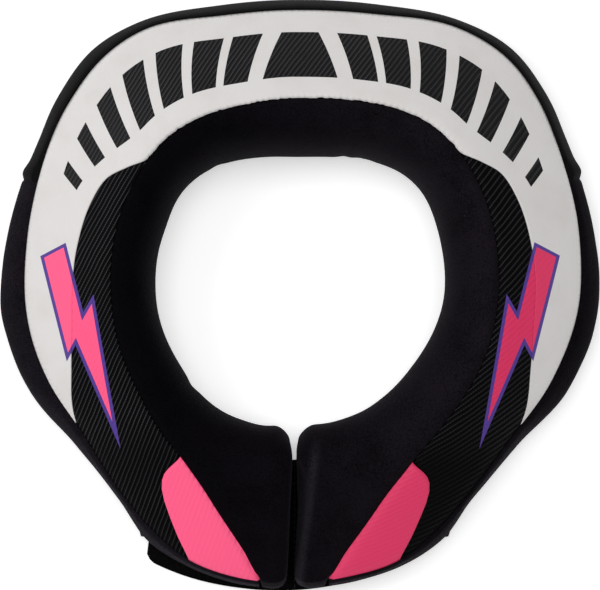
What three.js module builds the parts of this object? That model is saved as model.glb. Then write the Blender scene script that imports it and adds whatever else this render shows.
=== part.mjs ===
// A padded neck collar for young motocross riders, as it lies on a table, closed at the front.
// Millimetres, +Z up. +Y points to the back of the neck and the closure is on -Y.
// The collar is a C of sections round the neck opening. Each section has a padded roll against the neck, a top
// that slopes down and outwards under sewn panels, and an outer wall with its own cover.
// The origin is at the middle of the collar's outline, on the plane that it rests on.

import * as THREE from "three";

// Plan
const OPENING_WIDTH = 128; // neck opening, from side to side
const ROLL_WIDTH = 24; // brushed roll, from the opening to its seam
const PANEL_WIDTH = 38; // sloping top, from the seam to the eave
const RIM_FLARE = 10.5; // lean of the outer wall past the eave, at the shoulders
const CLOSURE_GAP = 4; // between the two front ends
const FRONT_SWAY = -2.6; // the closed front sits this far to one side
const SWAY_START = 85; // degrees round from the back, where that sway begins
const SWAY_END = 160; // and where it is whole
const SIDE_SKEW = 2.3; // sewn a little askew: the right half's seams lie further out, the left half's further in

// Heights
const BACK_HEIGHT = 62; // crest at the back of the neck
const EAVE_HEIGHT = 35; // top of the outer wall at the back
const SHOULDER_ARCH = 6; // hollow of the underside over each shoulder
const EQUATOR_SHARE = 0.42; // height of the roll's innermost line, as a share of the section's height
const CREST_SHARE = 0.84; // place of the crest across the roll
const CREST_ROUNDING = 0.22; // how slowly the top turns from the crest into the slope
const ROLL_TUCK = 11; // how far the roll's underside turns in below the neck
const WALL_TUCK = 3.5; // how far the outer wall turns in at its foot
const FRONT_WALL_TUCK = 0.6; // the same where the collar is pressed on its flap
const WALL_WIDEST = 0.62; // place of the wall's widest line, as a share of the way down

// Cloth and clearances
const PANEL_THICKNESS = 1.6; // foam-backed cloth of the top panels
const RIM_COVER_THICKNESS = 2; // brushed cover on the side walls
const RIM_LIP = 1; // the same cover where it is turned in at the eave
const CLEARANCE = 0.3; // between sewn pieces
const END_ROUNDING = 5.5; // edges of the two front ends
const SEAM_PUCKER = 1.4; // swelling where the back's wall cover ends

// Closure flap, a flat curved piece under the two front ends
const FLAP_THICKNESS = 2.4;
const FLAP_DEPTH = 59; // from the neck side to the outer edge
const FLAP_INSET = 0.5; // its outer edge is cut this far inside the front eave
const FLAP_HALF_TURN = 29.5; // degrees to each side
const FLAP_CORNER = 4;
const FLAP_OFFSET_X = -9.4; // the flap is fastened off centre, so one end peeps out
const FLAP_OFFSET_Y = -2.6;

// Places round the collar, in degrees from the middle of the back
const BACK_WALL_END = 66; // the back's wall cover meets the side covers
const FRONT_SEAM_END = 174; // the front seam runs out at the eave
const PAD_END = 171.5; // the lower pad's wedge stops a little before that
const FRONT_WALL_START = 174.7; // beyond it the front pads have their own outer wall
const TWILL_START = 50.5; // the ribbed panel begins at the roll's seam
const WHITE_END = 121.5; // the white panel runs out at the eave
const TWILL_STEP_PAST_WHITE = 1; // beyond that the ribbed panel has the whole slope
const CLOSURE = 180; // where the two front ends meet
const END_STATIONS = [FRONT_WALL_START, 175.5, 176.5, 177.5, 178.5, 179.3, CLOSURE]; // round the ends' edges
const COVER_STEP = 1.5; // in these degrees the lower pad steps in under the side covers
const SIDE_COVER_START = 68;
const LOWERING_START = 58; // the back wall's top edge goes down under the panels from here to its end
const PUCKER_REACH = 4;
const COARSE_STEP = 5;
const FINE_STEP = 2.5;
const FINE_FROM = 125;

// One row for each section: degrees round from the back, then shares of the named sizes.
// inner: half the opening. roll, panel and rim: their widths. pad: how much of the panel the front pad covers.
// crest and eave: their heights. arch: the shoulder arch. flap: how far the section is raised by the flap.
const SECTIONS = [
  { turn: 0, inner: 0.948, roll: 0.937, panel: 1.144, pad: 0, rim: 0.66, crest: 1, eave: 1, arch: 0, flap: 0 },
  { turn: 15, inner: 0.978, roll: 0.911, panel: 1.176, pad: 0, rim: 0.65, crest: 0.995, eave: 0.98, arch: 0, flap: 0 },
  { turn: 30, inner: 1.044, roll: 0.881, panel: 1.3, pad: 0, rim: 0.55, crest: 0.975, eave: 0.91, arch: 0, flap: 0 },
  { turn: 40, inner: 1.074, roll: 0.865, panel: 1.29, pad: 0, rim: 0.65, crest: 0.955, eave: 0.87, arch: 0.1, flap: 0 },
  { turn: 50, inner: 1.074, roll: 0.85, panel: 1.216, pad: 0, rim: 0.6, crest: 0.935, eave: 0.85, arch: 0.32, flap: 0 },
  { turn: 65, inner: 1.02, roll: 0.914, panel: 1.09, pad: 0, rim: 0.62, crest: 0.91, eave: 0.83, arch: 0.72, flap: 0 },
  { turn: 80, inner: 0.99, roll: 0.914, panel: 1.037, pad: 0, rim: 0.75, crest: 0.89, eave: 0.81, arch: 1, flap: 0 },
  { turn: 95, inner: 0.969, roll: 0.938, panel: 1, pad: 0, rim: 0.89, crest: 0.87, eave: 0.8, arch: 1, flap: 0 },
  { turn: 110, inner: 0.953, roll: 1, panel: 0.888, pad: 0, rim: 0.76, crest: 0.84, eave: 0.8, arch: 0.72, flap: 0 },
  { turn: 125, inner: 0.939, roll: 1.065, panel: 0.772, pad: 0, rim: 0.35, crest: 0.8, eave: 0.78, arch: 0.32, flap: 0 },
  { turn: 140, inner: 0.949, roll: 1.11, panel: 0.83, pad: 0.05, rim: 0.12, crest: 0.765, eave: 0.75, arch: 0.08, flap: 0.85 },
  { turn: 150, inner: 0.955, roll: 1.05, panel: 1, pad: 0.19, rim: 0.34, crest: 0.75, eave: 0.73, arch: 0, flap: 1 },
  { turn: 160, inner: 0.95, roll: 1.05, panel: 1.15, pad: 0.39, rim: 0.1, crest: 0.735, eave: 0.71, arch: 0, flap: 1 },
  { turn: 170, inner: 0.948, roll: 1.1, panel: 1.17, pad: 0.74, rim: 0.08, crest: 0.725, eave: 0.7, arch: 0, flap: 1 },
  { turn: 174, inner: 0.945, roll: 1.1, panel: 1.18, pad: 0.97, rim: 0.08, crest: 0.72, eave: 0.7, arch: 0, flap: 1 },
  { turn: 180, inner: 0.95, roll: 1.1, panel: 1.18, pad: 1, rim: 0.1, crest: 0.72, eave: 0.7, arch: 0, flap: 1 },
];
// How far each line of a section is moved by the askew sewing, as shares of SIDE_SKEW: the neck's edge, the roll's
// seam, the eave and the rim's widest line.
const SKEWS = [
  { turn: 0, inner: 0, seam: 0, eave: 0, rim: 0 },
  { turn: 15, inner: 0, seam: 0.37, eave: 0.12, rim: 0.05 },
  { turn: 30, inner: 0.1, seam: 0.74, eave: 0.25, rim: 0.1 },
  { turn: 45, inner: 0.33, seam: 0.98, eave: 0.8, rim: 0.45 },
  { turn: 60, inner: 0.33, seam: 1.04, eave: 0.62, rim: 0.5 },
  { turn: 75, inner: 0, seam: 0.97, eave: 0.7, rim: 0.25 },
  { turn: 90, inner: 0, seam: 0.97, eave: 0.52, rim: 0 },
  { turn: 105, inner: 0, seam: 1.02, eave: 0.25, rim: 0 },
  { turn: 120, inner: 0, seam: 1.02, eave: 0.3, rim: 0 },
  { turn: 140, inner: 0, seam: 0.6, eave: 0, rim: 0 },
  { turn: 150, inner: 0, seam: 0.65, eave: 0, rim: 0 },
  { turn: 160, inner: 0, seam: 0.48, eave: 0, rim: 0 },
  { turn: 170, inner: 0, seam: 0.35, eave: 0, rim: 0 },
  { turn: 174, inner: 0, seam: 0.13, eave: 0, rim: 0 },
  { turn: 180, inner: 0, seam: 0, eave: 0, rim: 0 },
];
// The line between the white and the ribbed panel: degrees round, and how far across the panel.
const WHITE_EDGE = [
  { turn: 49, across: 0 },
  { turn: 55, across: 0.13 },
  { turn: 60, across: 0.27 },
  { turn: 67, across: 0.345 },
  { turn: 80, across: 0.41 },
  { turn: 100, across: 0.5 },
  { turn: 110, across: 0.67 },
  { turn: 122, across: 1 },
];
// The line between the ribbed and the pink panel: how far across, and degrees round.
const PINK_EDGE = [
  { across: 0, turn: 147 },
  { across: 0.33, turn: 145.8 },
  { across: 0.42, turn: 146.2 },
  { across: 0.52, turn: 147.6 },
  { across: 0.74, turn: 153.6 },
  { across: 1, turn: 159.3 },
];

// Points along each stretch of an outline
const TUCK_STEPS = 4;
const ROLL_STEPS = 6;
const SLOPE_STEPS = 5;
const WALL_STEPS = 4;
const PANEL_STEPS = 5;
const TWILL_END_STEPS = 7;
const FLAP_ARC_STEPS = 14;

const BRUSHED_BLACK = { color: 0x1c1a20, roughness: 0.95, metalness: 0 };
const KNIT_BLACK = { color: 0x161617, roughness: 0.85, metalness: 0 };
const WHITE_PRINT = { color: 0xd8d5d3, roughness: 0.45, metalness: 0 };
const TWILL_BLACK = { color: 0x101013, roughness: 0.55, metalness: 0 };
const PINK_TWILL = { color: 0xf2467c, roughness: 0.6, metalness: 0 };
const HOOK_BLACK = { color: 0x0c0c0e, roughness: 0.8, metalness: 0 };

const { lerp, clamp, degToRad, radToDeg, smoothstep } = THREE.MathUtils;

// The sewing clearance as an angle at the edge of the neck opening, kept on each side of a slanting seam.
const SEAM_TURN = radToDeg(CLEARANCE / (OPENING_WIDTH / 2));

// A smooth curve through a table's rows. It gives all the columns at any value of the key column.
function smoothTable(rows, key, columns) {
  const keys = rows.map((row) => row[key]);
  const values = rows.flatMap((row) => columns.map((column) => row[column]));
  const curve = new THREE.CubicInterpolant(keys, values, columns.length);
  curve.settings = { endingStart: THREE.ZeroSlopeEnding, endingEnd: THREE.ZeroSlopeEnding };
  return (at) => {
    const result = curve.evaluate(clamp(at, keys[0], keys.at(-1)));
    return Object.fromEntries(columns.map((column, i) => [column, result[i]]));
  };
}

const shares = smoothTable(SECTIONS, "turn", ["inner", "roll", "panel", "pad", "rim", "crest", "eave", "arch", "flap"]);
const skews = smoothTable(SKEWS, "turn", ["inner", "seam", "eave", "rim"]);
const whiteEdge = smoothTable(WHITE_EDGE, "turn", ["across"]);
const pinkEdge = smoothTable(PINK_EDGE, "across", ["turn"]);

// The real sizes of the section at a place round the collar. side is 1 on the right and -1 on the left.
function sectionAt(side, turn) {
  const share = shares(turn);
  const skew = skews(turn);
  const askew = side * SIDE_SKEW;
  const evenInner = (OPENING_WIDTH / 2) * share.inner;
  const evenRollEdge = evenInner + ROLL_WIDTH * share.roll;
  const evenEave = evenRollEdge + PANEL_WIDTH * share.panel;
  const inner = evenInner + askew * skew.inner;
  const rollEdge = evenRollEdge + askew * skew.seam;
  const eave = evenEave + askew * skew.eave;
  const pad = clamp(share.pad, 0, 1);
  const onFlap = clamp(share.flap, 0, 1);
  const base = SHOULDER_ARCH * clamp(share.arch, 0, 1) + (FLAP_THICKNESS + CLEARANCE) * onFlap;
  const crestHeight = BACK_HEIGHT * share.crest;
  return {
    inner,
    crest: lerp(inner, rollEdge, CREST_SHARE),
    seam: lerp(rollEdge, eave, pad) + askew * skew.seam * pad,
    eave,
    flare: RIM_FLARE * share.rim + askew * (skew.rim - skew.eave),
    tuck: lerp(WALL_TUCK, FRONT_WALL_TUCK, onFlap),
    base,
    crestHeight,
    equator: lerp(base, crestHeight, EQUATOR_SHARE),
    eaveHeight: EAVE_HEIGHT * share.eave,
  };
}

// Height of the sloping top at a distance from the middle of the opening.
function topHeight(section, radius) {
  const x = clamp((radius - section.crest) / (section.eave - section.crest), 0, 1);
  const drop = (x * x * (1 + CREST_ROUNDING)) / (x + CREST_ROUNDING);
  return lerp(section.crestHeight, section.eaveHeight, drop);
}

// A point of the outer wall's face, as [radius, height], going down it from 0 to 1. It leans out to its widest
// line and turns in below it.
function wallPoint(section, down) {
  const above = Math.min(1, down / WALL_WIDEST);
  const below = clamp((down - WALL_WIDEST) / (1 - WALL_WIDEST), 0, 1);
  const lean = section.flare * Math.sin((Math.PI / 2) * above) - section.tuck * below * below;
  return [section.eave + CLEARANCE / 2 + RIM_LIP + lean, lerp(section.eaveHeight, section.base, down)];
}

function steps(count, make) {
  return Array.from({ length: count + 1 }, (_, i) => make(i / count));
}

// Shares across a panel from one of them to the eave, closer together near the seam, where the top is rounder.
function acrossFrom(from) {
  return steps(PANEL_STEPS, (t) => lerp(from, 1, t ** 1.4));
}

// Where a point of a section is in the collar.
function place(side, turn, [radius, height]) {
  const angle = degToRad(turn);
  const sway = FRONT_SWAY * smoothstep(turn, SWAY_START, SWAY_END);
  const x = side * (CLOSURE_GAP / 2 + radius * Math.sin(angle)) + sway;
  return new THREE.Vector3(x, radius * Math.cos(angle), height);
}

// Places round one half of the collar, closer together near the front.
function turnsBetween(from, to) {
  const turns = [from];
  for (let at = COARSE_STEP; at < CLOSURE; at += at < FINE_FROM ? COARSE_STEP : FINE_STEP) {
    if (at > from + 1 && at < to - 1) turns.push(at);
  }
  turns.push(to);
  return turns;
}

// A whole C of stations, from one half's last turn round the back to the other's.
function stationsTo(turns) {
  const right = turns.map((turn) => ({ side: 1, turn }));
  const left = turns.map((turn) => ({ side: -1, turn })).reverse();
  return [...left, ...right];
}

// A solid lofted through closed outlines of the same number of points, each a list of Vector3. cap gives the
// triangles over an end outline.
function loft(outlines, cap = flatCap) {
  const count = outlines[0].length;
  const positions = outlines.flat().flatMap((point) => point.toArray());
  const index = [];
  for (let row = 0; row + 1 < outlines.length; row++) {
    for (let i = 0; i < count; i++) {
      const a = row * count + i;
      const b = row * count + ((i + 1) % count);
      index.push(a, b, b + count, a, b + count, a + count);
    }
  }
  const last = (outlines.length - 1) * count;
  for (const [a, b, c] of cap(outlines[0])) index.push(c, b, a);
  for (const [a, b, c] of cap(outlines.at(-1))) index.push(last + a, last + b, last + c);
  return solidGeometry(positions, index);
}

// Triangles over an end outline that lies in an upright plane.
function flatCap(outline) {
  const along = outline.map((point) => new THREE.Vector2(Math.hypot(point.x, point.y), point.z));
  const turnsLeft = !THREE.ShapeUtils.isClockWise(along);
  const triangles = THREE.ShapeUtils.triangulateShape(along, []);
  return turnsLeft ? triangles : triangles.map(([a, b, c]) => [c, b, a]);
}

// Triangles over the end of a sheet, whose outline runs along its face and then back along its other side.
function stripCap(outline) {
  const last = outline.length - 1;
  const pairs = Array.from({ length: outline.length / 2 - 1 }, (_, i) => i);
  return pairs.flatMap((i) => [
    [i, i + 1, last - i - 1],
    [i, last - i - 1, last - i],
  ]);
}

// A sheet of even thickness: a grid of points on its face and the same grid on its back.
function sheetSolid(face, back) {
  const rows = face.map((row, i) => [...row, ...[...back[i]].reverse()]);
  return loft(rows, stripCap);
}

function solidGeometry(positions, index) {
  const geometry = new THREE.BufferGeometry();
  geometry.setAttribute("position", new THREE.Float32BufferAttribute(positions, 3));
  geometry.setIndex(signedVolume(positions, index) < 0 ? index.toReversed() : index);
  geometry.computeVertexNormals();
  return geometry;
}

function signedVolume(positions, index) {
  const corner = (i) => new THREE.Vector3().fromArray(positions, 3 * index[i]);
  let volume = 0;
  for (let i = 0; i < index.length; i += 3) volume += corner(i).dot(corner(i + 1).cross(corner(i + 2)));
  return volume / 6;
}

// Moves an outline's points inwards near the two front ends, so that the ends have round edges.
function roundedEnd(outline, turn) {
  const angle = degToRad(turn);
  return outline.map((point, i) => {
    const inFront = Math.cos(angle) < 0;
    const fromEnd = inFront ? point[0] * Math.sin(angle) : END_ROUNDING;
    const near = clamp(END_ROUNDING - fromEnd, 0, END_ROUNDING);
    const inset = END_ROUNDING - Math.sqrt(END_ROUNDING ** 2 - near ** 2);
    const before = outline.at(i - 1);
    const after = outline[(i + 1) % outline.length];
    const along = new THREE.Vector2(after[0] - before[0], after[1] - before[1]).normalize();
    return [point[0] + along.y * inset, point[1] - along.x * inset];
  });
}

// The roll against the neck and, at the front, the pads that reach right across the collar.
function rollOutline(side, turn) {
  const section = sectionAt(side, turn);
  const { inner, crest, base, equator, crestHeight } = section;
  const front = smoothstep(turn, FRONT_SEAM_END, FRONT_WALL_START);
  const seam = lerp(section.seam - CLEARANCE / 2, section.eave, front);
  const seamHeight = topHeight(section, seam);
  const tuck = steps(TUCK_STEPS, (t) => {
    const angle = (t * Math.PI) / 2;
    return [inner + ROLL_TUCK * (1 - Math.sin(angle)), equator - (equator - base) * Math.cos(angle)];
  });
  const roll = steps(ROLL_STEPS, (t) => {
    const angle = (t * Math.PI) / 2;
    return [crest - (crest - inner) * Math.cos(angle), equator + (crestHeight - equator) * Math.sin(angle)];
  });
  const slope = steps(SLOPE_STEPS, (t) => {
    const radius = lerp(crest, seam, t);
    return [radius, topHeight(section, radius)];
  });
  const wall = steps(WALL_STEPS, (t) => {
    const [radius] = wallPoint(section, t);
    return [lerp(seam, radius, front * Math.min(1, 4 * t)), lerp(seamHeight, base, t)];
  });
  return roundedEnd([...tuck, ...roll.slice(1), ...slope.slice(1), ...wall.slice(1)], turn);
}

function collarRoll() {
  const turns = [...turnsBetween(0, FRONT_SEAM_END), ...END_STATIONS];
  return loft(
    stationsTo(turns).map(({ side, turn }) => rollOutline(side, turn).map((point) => place(side, turn, point))),
  );
}

// The wedge-shaped pad under the top panels. Its knitted cover is the wall at the back and the underside.
function lowerPadOutline(side, turn) {
  const section = sectionAt(side, turn);
  const { seam, eave, base } = section;
  const under = PANEL_THICKNESS + CLEARANCE;
  const covered = smoothstep(turn, BACK_WALL_END, BACK_WALL_END + COVER_STEP);
  const lowered = smoothstep(turn, LOWERING_START, BACK_WALL_END);
  const pucker = SEAM_PUCKER * Math.exp(-(((turn - BACK_WALL_END) / PUCKER_REACH) ** 2)) * (1 - covered);
  const slope = acrossFrom(0).map((across) => {
    const radius = lerp(seam + CLEARANCE / 2, eave - RIM_COVER_THICKNESS * covered, across);
    return [radius, topHeight(section, radius) - under];
  });
  const wall = steps(WALL_STEPS, (t) => {
    const [radius, height] = wallPoint(section, t);
    const inset = (RIM_COVER_THICKNESS + CLEARANCE) * covered - pucker * Math.sin(Math.PI * t);
    return [radius - inset, Math.min(height, section.eaveHeight - under * lerp(0.3, 1.4, lowered))];
  });
  return [[seam + CLEARANCE / 2, base], ...slope, ...wall];
}

function lowerPad() {
  const turns = [...turnsBetween(0, BACK_WALL_END), ...turnsBetween(BACK_WALL_END + COVER_STEP, PAD_END)];
  return loft(
    stationsTo(turns).map(({ side, turn }) =>
      lowerPadOutline(side, turn).map((point) => place(side, turn, point)),
    ),
  );
}

// The brushed cover of one side's outer wall, from the back's cover round to the front pad.
function rimCover(side) {
  const rows = turnsBetween(SIDE_COVER_START, FRONT_SEAM_END).map((turn) => {
    const section = sectionAt(side, turn);
    const face = steps(WALL_STEPS, (t) => wallPoint(section, t));
    const back = face.map(([radius, height], i) => {
      const thickness = lerp(RIM_LIP, RIM_COVER_THICKNESS, Math.min(1, (2 * i) / WALL_STEPS));
      return [radius - thickness, height];
    });
    return { face: face.map((p) => place(side, turn, p)), back: back.map((p) => place(side, turn, p)) };
  });
  return sheetSolid(
    rows.map((row) => row.face),
    rows.map((row) => row.back),
  );
}

// A point on the face of the top panels, a share across from the seam to the eave, and the same point underneath.
function panelPoint(side, turn, across) {
  const section = sectionAt(side, turn);
  const radius = lerp(section.seam + CLEARANCE / 2, section.eave - CLEARANCE / 2, across);
  const height = topHeight(section, radius);
  return [place(side, turn, [radius, height]), place(side, turn, [radius, height - PANEL_THICKNESS])];
}

function panelSolid(lines) {
  return sheetSolid(
    lines.map((line) => line.map(([face]) => face)),
    lines.map((line) => line.map(([, back]) => back)),
  );
}

// Half the sewing clearance, as a share of the panel's width at a place.
function seamShare(side, turn) {
  const section = sectionAt(side, turn);
  return CLEARANCE / 2 / (section.eave - section.seam);
}

function whitePanel() {
  const turns = [...turnsBetween(0, TWILL_START), ...turnsBetween(TWILL_START, WHITE_END).slice(1)];
  return panelSolid(
    stationsTo(turns).map(({ side, turn }) => {
      const from = turn < TWILL_START ? 0 : whiteEdge(turn).across + seamShare(side, turn);
      return acrossFrom(from).map((across) => panelPoint(side, turn, across));
    }),
  );
}

// Straight across as far as the white panel goes along it, then leaning over to the pink panel's edge.
function twillPanel(side) {
  const besideWhite = turnsBetween(TWILL_START, WHITE_END).map((turn) => {
    const to = whiteEdge(turn).across - seamShare(side, turn);
    return acrossFrom(0).map((across) => panelPoint(side, turn, across * to));
  });
  const besidePink = steps(TWILL_END_STEPS, (t) =>
    acrossFrom(0).map((across) => {
      const end = pinkEdge(across).turn - SEAM_TURN;
      return panelPoint(side, lerp(WHITE_END + TWILL_STEP_PAST_WHITE, end, t), across);
    }),
  );
  return panelSolid([...besideWhite, ...besidePink]);
}

function pinkPanel(side) {
  const seamStart = PINK_EDGE[0].turn;
  const rows = turnsBetween(seamStart, FRONT_SEAM_END).map(
    (turn) => (turn - seamStart) / (FRONT_SEAM_END - seamStart),
  );
  return panelSolid(
    rows.map((along) =>
      acrossFrom(0).map((across) => {
        const start = pinkEdge(across).turn + SEAM_TURN;
        return panelPoint(side, lerp(start, FRONT_SEAM_END, along), across);
      }),
    ),
  );
}

// The flap that joins the front ends from below: a curved band with round corners.
function closureFlap() {
  const reach = sectionAt(1, CLOSURE).eave - FLAP_INSET;
  const innerReach = reach - FLAP_DEPTH;
  const half = degToRad(FLAP_HALF_TURN);
  const front = -Math.PI / 2;
  const outerCut = FLAP_CORNER / reach;
  const innerCut = FLAP_CORNER / innerReach;
  const at = (radius, angle) => [radius * Math.cos(angle), radius * Math.sin(angle)];
  const outline = new THREE.Shape();
  outline.absarc(0, 0, reach, front - half + outerCut, front + half - outerCut, false);
  outline.quadraticCurveTo(...at(reach, front + half), ...at(reach - FLAP_CORNER, front + half));
  outline.lineTo(...at(innerReach + FLAP_CORNER, front + half));
  outline.quadraticCurveTo(...at(innerReach, front + half), ...at(innerReach, front + half - innerCut));
  outline.absarc(0, 0, innerReach, front + half - innerCut, front - half + innerCut, true);
  outline.quadraticCurveTo(...at(innerReach, front - half), ...at(innerReach + FLAP_CORNER, front - half));
  outline.lineTo(...at(reach - FLAP_CORNER, front - half));
  outline.quadraticCurveTo(
    ...at(reach, front - half),
    ...at(reach, front - half + outerCut),
  );
  const geometry = new THREE.ExtrudeGeometry(outline, {
    depth: FLAP_THICKNESS,
    bevelEnabled: false,
    curveSegments: FLAP_ARC_STEPS,
  });
  geometry.translate(FLAP_OFFSET_X, FLAP_OFFSET_Y, 0);
  return geometry;
}

function addPiece(group, name, geometry, finish) {
  const mesh = new THREE.Mesh(geometry, new THREE.MeshStandardMaterial(finish));
  mesh.name = name;
  group.add(mesh);
}

const collar = new THREE.Group();
addPiece(collar, "collar_roll", collarRoll(), BRUSHED_BLACK);
addPiece(collar, "lower_pad", lowerPad(), KNIT_BLACK);
addPiece(collar, "white_panel", whitePanel(), WHITE_PRINT);
addPiece(collar, "closure_flap", closureFlap(), HOOK_BLACK);
for (const { side, hand } of [
  { side: -1, hand: "left" },
  { side: 1, hand: "right" },
]) {
  addPiece(collar, `twill_panel_${hand}`, twillPanel(side), TWILL_BLACK);
  addPiece(collar, `pink_panel_${hand}`, pinkPanel(side), PINK_TWILL);
  addPiece(collar, `rim_cover_${hand}`, rimCover(side), BRUSHED_BLACK);
}

// The collar's outline is centred on the origin.
const box = new THREE.Box3().setFromObject(collar);
collar.position.set(-(box.min.x + box.max.x) / 2, -(box.min.y + box.max.y) / 2, -box.min.z);

export default collar;
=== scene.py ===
import functools
import math
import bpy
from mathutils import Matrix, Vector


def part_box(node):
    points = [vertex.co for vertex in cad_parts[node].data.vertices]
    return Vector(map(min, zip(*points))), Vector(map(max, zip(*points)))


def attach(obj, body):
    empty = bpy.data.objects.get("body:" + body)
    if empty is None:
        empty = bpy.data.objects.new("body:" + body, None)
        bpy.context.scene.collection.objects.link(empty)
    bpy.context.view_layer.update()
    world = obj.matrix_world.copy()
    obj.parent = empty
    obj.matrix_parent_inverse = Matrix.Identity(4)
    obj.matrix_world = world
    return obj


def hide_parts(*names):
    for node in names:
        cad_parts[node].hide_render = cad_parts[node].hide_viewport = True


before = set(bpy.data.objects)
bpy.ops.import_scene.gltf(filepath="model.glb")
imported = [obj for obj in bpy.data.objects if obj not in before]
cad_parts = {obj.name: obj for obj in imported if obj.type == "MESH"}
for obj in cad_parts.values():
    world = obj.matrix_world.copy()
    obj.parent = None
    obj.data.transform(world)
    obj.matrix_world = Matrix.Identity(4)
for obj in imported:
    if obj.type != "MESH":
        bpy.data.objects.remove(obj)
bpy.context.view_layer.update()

from types import SimpleNamespace

import bmesh
import bpy
import numpy as np
from mathutils import Vector, noise

MM = 0.001
# Millimetres in the decimetre that the maps on the cloth are given in
DECIMETRE = 100

# Sizes in millimetres, as the solids have them
OPENING_WIDTH = 128
ROLL_WIDTH = 24
PANEL_WIDTH = 38
RIM_FLARE = 10.5
CLOSURE_GAP = 4
FRONT_SWAY = -2.6
SIDE_SKEW = 2.3
BACK_HEIGHT = 62
EAVE_HEIGHT = 35
SHOULDER_ARCH = 6
ROLL_TUCK = 11
WALL_TUCK = 3.5
FRONT_WALL_TUCK = 0.6
PANEL_THICKNESS = 1.6
RIM_COVER_THICKNESS = 2
RIM_LIP = 1
CLEARANCE = 0.3
FLAP_THICKNESS = 2.4
FLAP_DEPTH = 59
FLAP_INSET = 0.5
FLAP_OFFSET_X = -9.4
FLAP_OFFSET_Y = -2.6

# Shares of a section's width and height
EQUATOR_SHARE = 0.42
CREST_SHARE = 0.84
CREST_ROUNDING = 0.22
WALL_WIDEST = 0.62

# Places round the collar, in degrees from the middle of the back
PANEL_GAP_TURN = math.degrees(CLEARANCE / OPENING_WIDTH)
SIDE_SEAM = 67.1
TWILL_START = 50.5
WHITE_END = 121.5
BACK_WALL_END = 66
SWAY_START = 85
SWAY_END = 160
FRONT_START = 150
PAD_END = 171.5
FRONT_SEAM_END = 174
FRONT_WALL_START = 174.7
# How far the flap reaches to both sides of its middle, and how much less on the left
FLAP_HALF_TURN = 29.5
FLAP_LEFT_DRAW = 1

# Sections round the collar, in the columns turn, inner, roll, panel, pad, rim, crest, eave, arch and flap
SECTION_COLUMNS = ("inner", "roll", "panel", "pad", "rim", "crest", "eave", "arch", "flap")
SECTIONS = (
    (0, 0.948, 0.937, 1.144, 0, 0.66, 1, 1, 0, 0),
    (15, 0.974, 0.911, 1.176, 0, 0.65, 0.995, 0.98, 0, 0),
    (30, 1.035, 0.891, 1.3, 0, 0.55, 0.975, 0.91, 0, 0),
    (40, 1.065, 0.877, 1.29, 0, 0.65, 0.955, 0.87, 0.1, 0),
    (50, 1.064, 0.865, 1.216, 0, 0.6, 0.935, 0.85, 0.32, 0),
    (65, 1.016, 0.92, 1.09, 0, 0.62, 0.91, 0.83, 0.72, 0),
    (80, 0.99, 0.914, 1.037, 0, 0.75, 0.89, 0.81, 1, 0),
    (95, 0.969, 0.938, 1, 0, 0.89, 0.87, 0.8, 1, 0),
    (110, 0.949, 1.006, 0.888, 0, 0.76, 0.84, 0.8, 0.72, 0),
    (125, 0.935, 1.071, 0.772, 0, 0.35, 0.8, 0.78, 0.32, 0),
    (140, 0.949, 1.11, 0.83, 0.05, 0.12, 0.765, 0.75, 0.08, 0.85),
    (150, 0.955, 1.05, 1, 0.19, 0.34, 0.75, 0.73, 0, 1),
    (160, 0.95, 1.05, 1.15, 0.39, 0.1, 0.735, 0.71, 0, 1),
    (170, 0.948, 1.1, 1.157, 0.74, 0.08, 0.725, 0.7, 0, 1),
    (174, 0.945, 1.1, 1.169, 0.97, 0.08, 0.72, 0.7, 0, 1),
    (180, 0.95, 1.1, 1.18, 1, 0.1, 0.72, 0.7, 0, 1),
)
# How far the sewing is askew, in the columns turn, inner, seam, eave and rim
SKEW_COLUMNS = ("inner", "seam", "eave", "rim")
SKEWS = (
    (0, 0, 0, 0, 0),
    (15, 0, 0.37, 0.12, 0.05),
    (30, 0.1, 0.74, 0.25, 0.1),
    (45, 0.33, 0.98, 0.8, 0.45),
    (60, 0.33, 1.04, 0.62, 0.5),
    (75, 0, 0.97, 0.7, 0.25),
    (90, 0, 0.97, 0.52, 0),
    (105, 0, 1.02, 0.25, 0),
    (120, -0.08, 1.02, 0.3, 0),
    (140, -0.2, 0.6, 0, 0),
    (150, -0.2, 0.65, 0, 0),
    (160, -0.2, 0.48, 0, 0),
    (170, -0.2, 0.35, -0.15, -0.15),
    (174, -0.1, 0.13, -0.1, -0.1),
    (180, 0, 0, 0, 0),
)
# Degrees round, and how far across the top the white panel starts
WHITE_EDGE = ((49, 0), (55, 0.13), (60, 0.27), (67, 0.345), (80, 0.41), (100, 0.5), (110, 0.67), (122, 1))
# How far across the top, and the degrees round where the pink panel starts
PINK_EDGE = ((0, 147), (0.33, 145.8), (0.42, 146.2), (0.52, 147.6), (0.74, 153.6), (1, 159.3))

# How far the cloth is turned from the way it would lie if unrolled: signed turn round the collar, and degrees
CLOTH_TWISTS = (
    (-160, -6),
    (-120, -4),
    (-80, 0),
    (0, 12),
    (45, 14),
    (70, 11.5),
    (100, 9),
    (125, 8),
    (165, 6),
)

# Seams and softness of the top panels, in millimetres
SEWN_GAP = 0.12
SEAM_DEPTH = 1.3
SEAM_REACH = 1.8
EAVE_DEPTH = 1.1
EAVE_REACH = 1.6
SEAM_FLAT = 6
PANEL_CROWN = 0.5
FOAM_WAVE = 0.45
FOAM_WAVE_SIZE = 34
PANEL_WAVE_SEED = 1
WAVE_LAYER = 50
# The white panel's cut edge at the roll: its depth in millimetres, and how often it strays and is nicked
RAGGED_EDGE = 0.4
STRAY_RATE = 0.8
STRAY_SEED = 3.1
NICK_RATE = 2.7
NICK_SHARE = 1.6
NICK_SEED = 7.7

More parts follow.
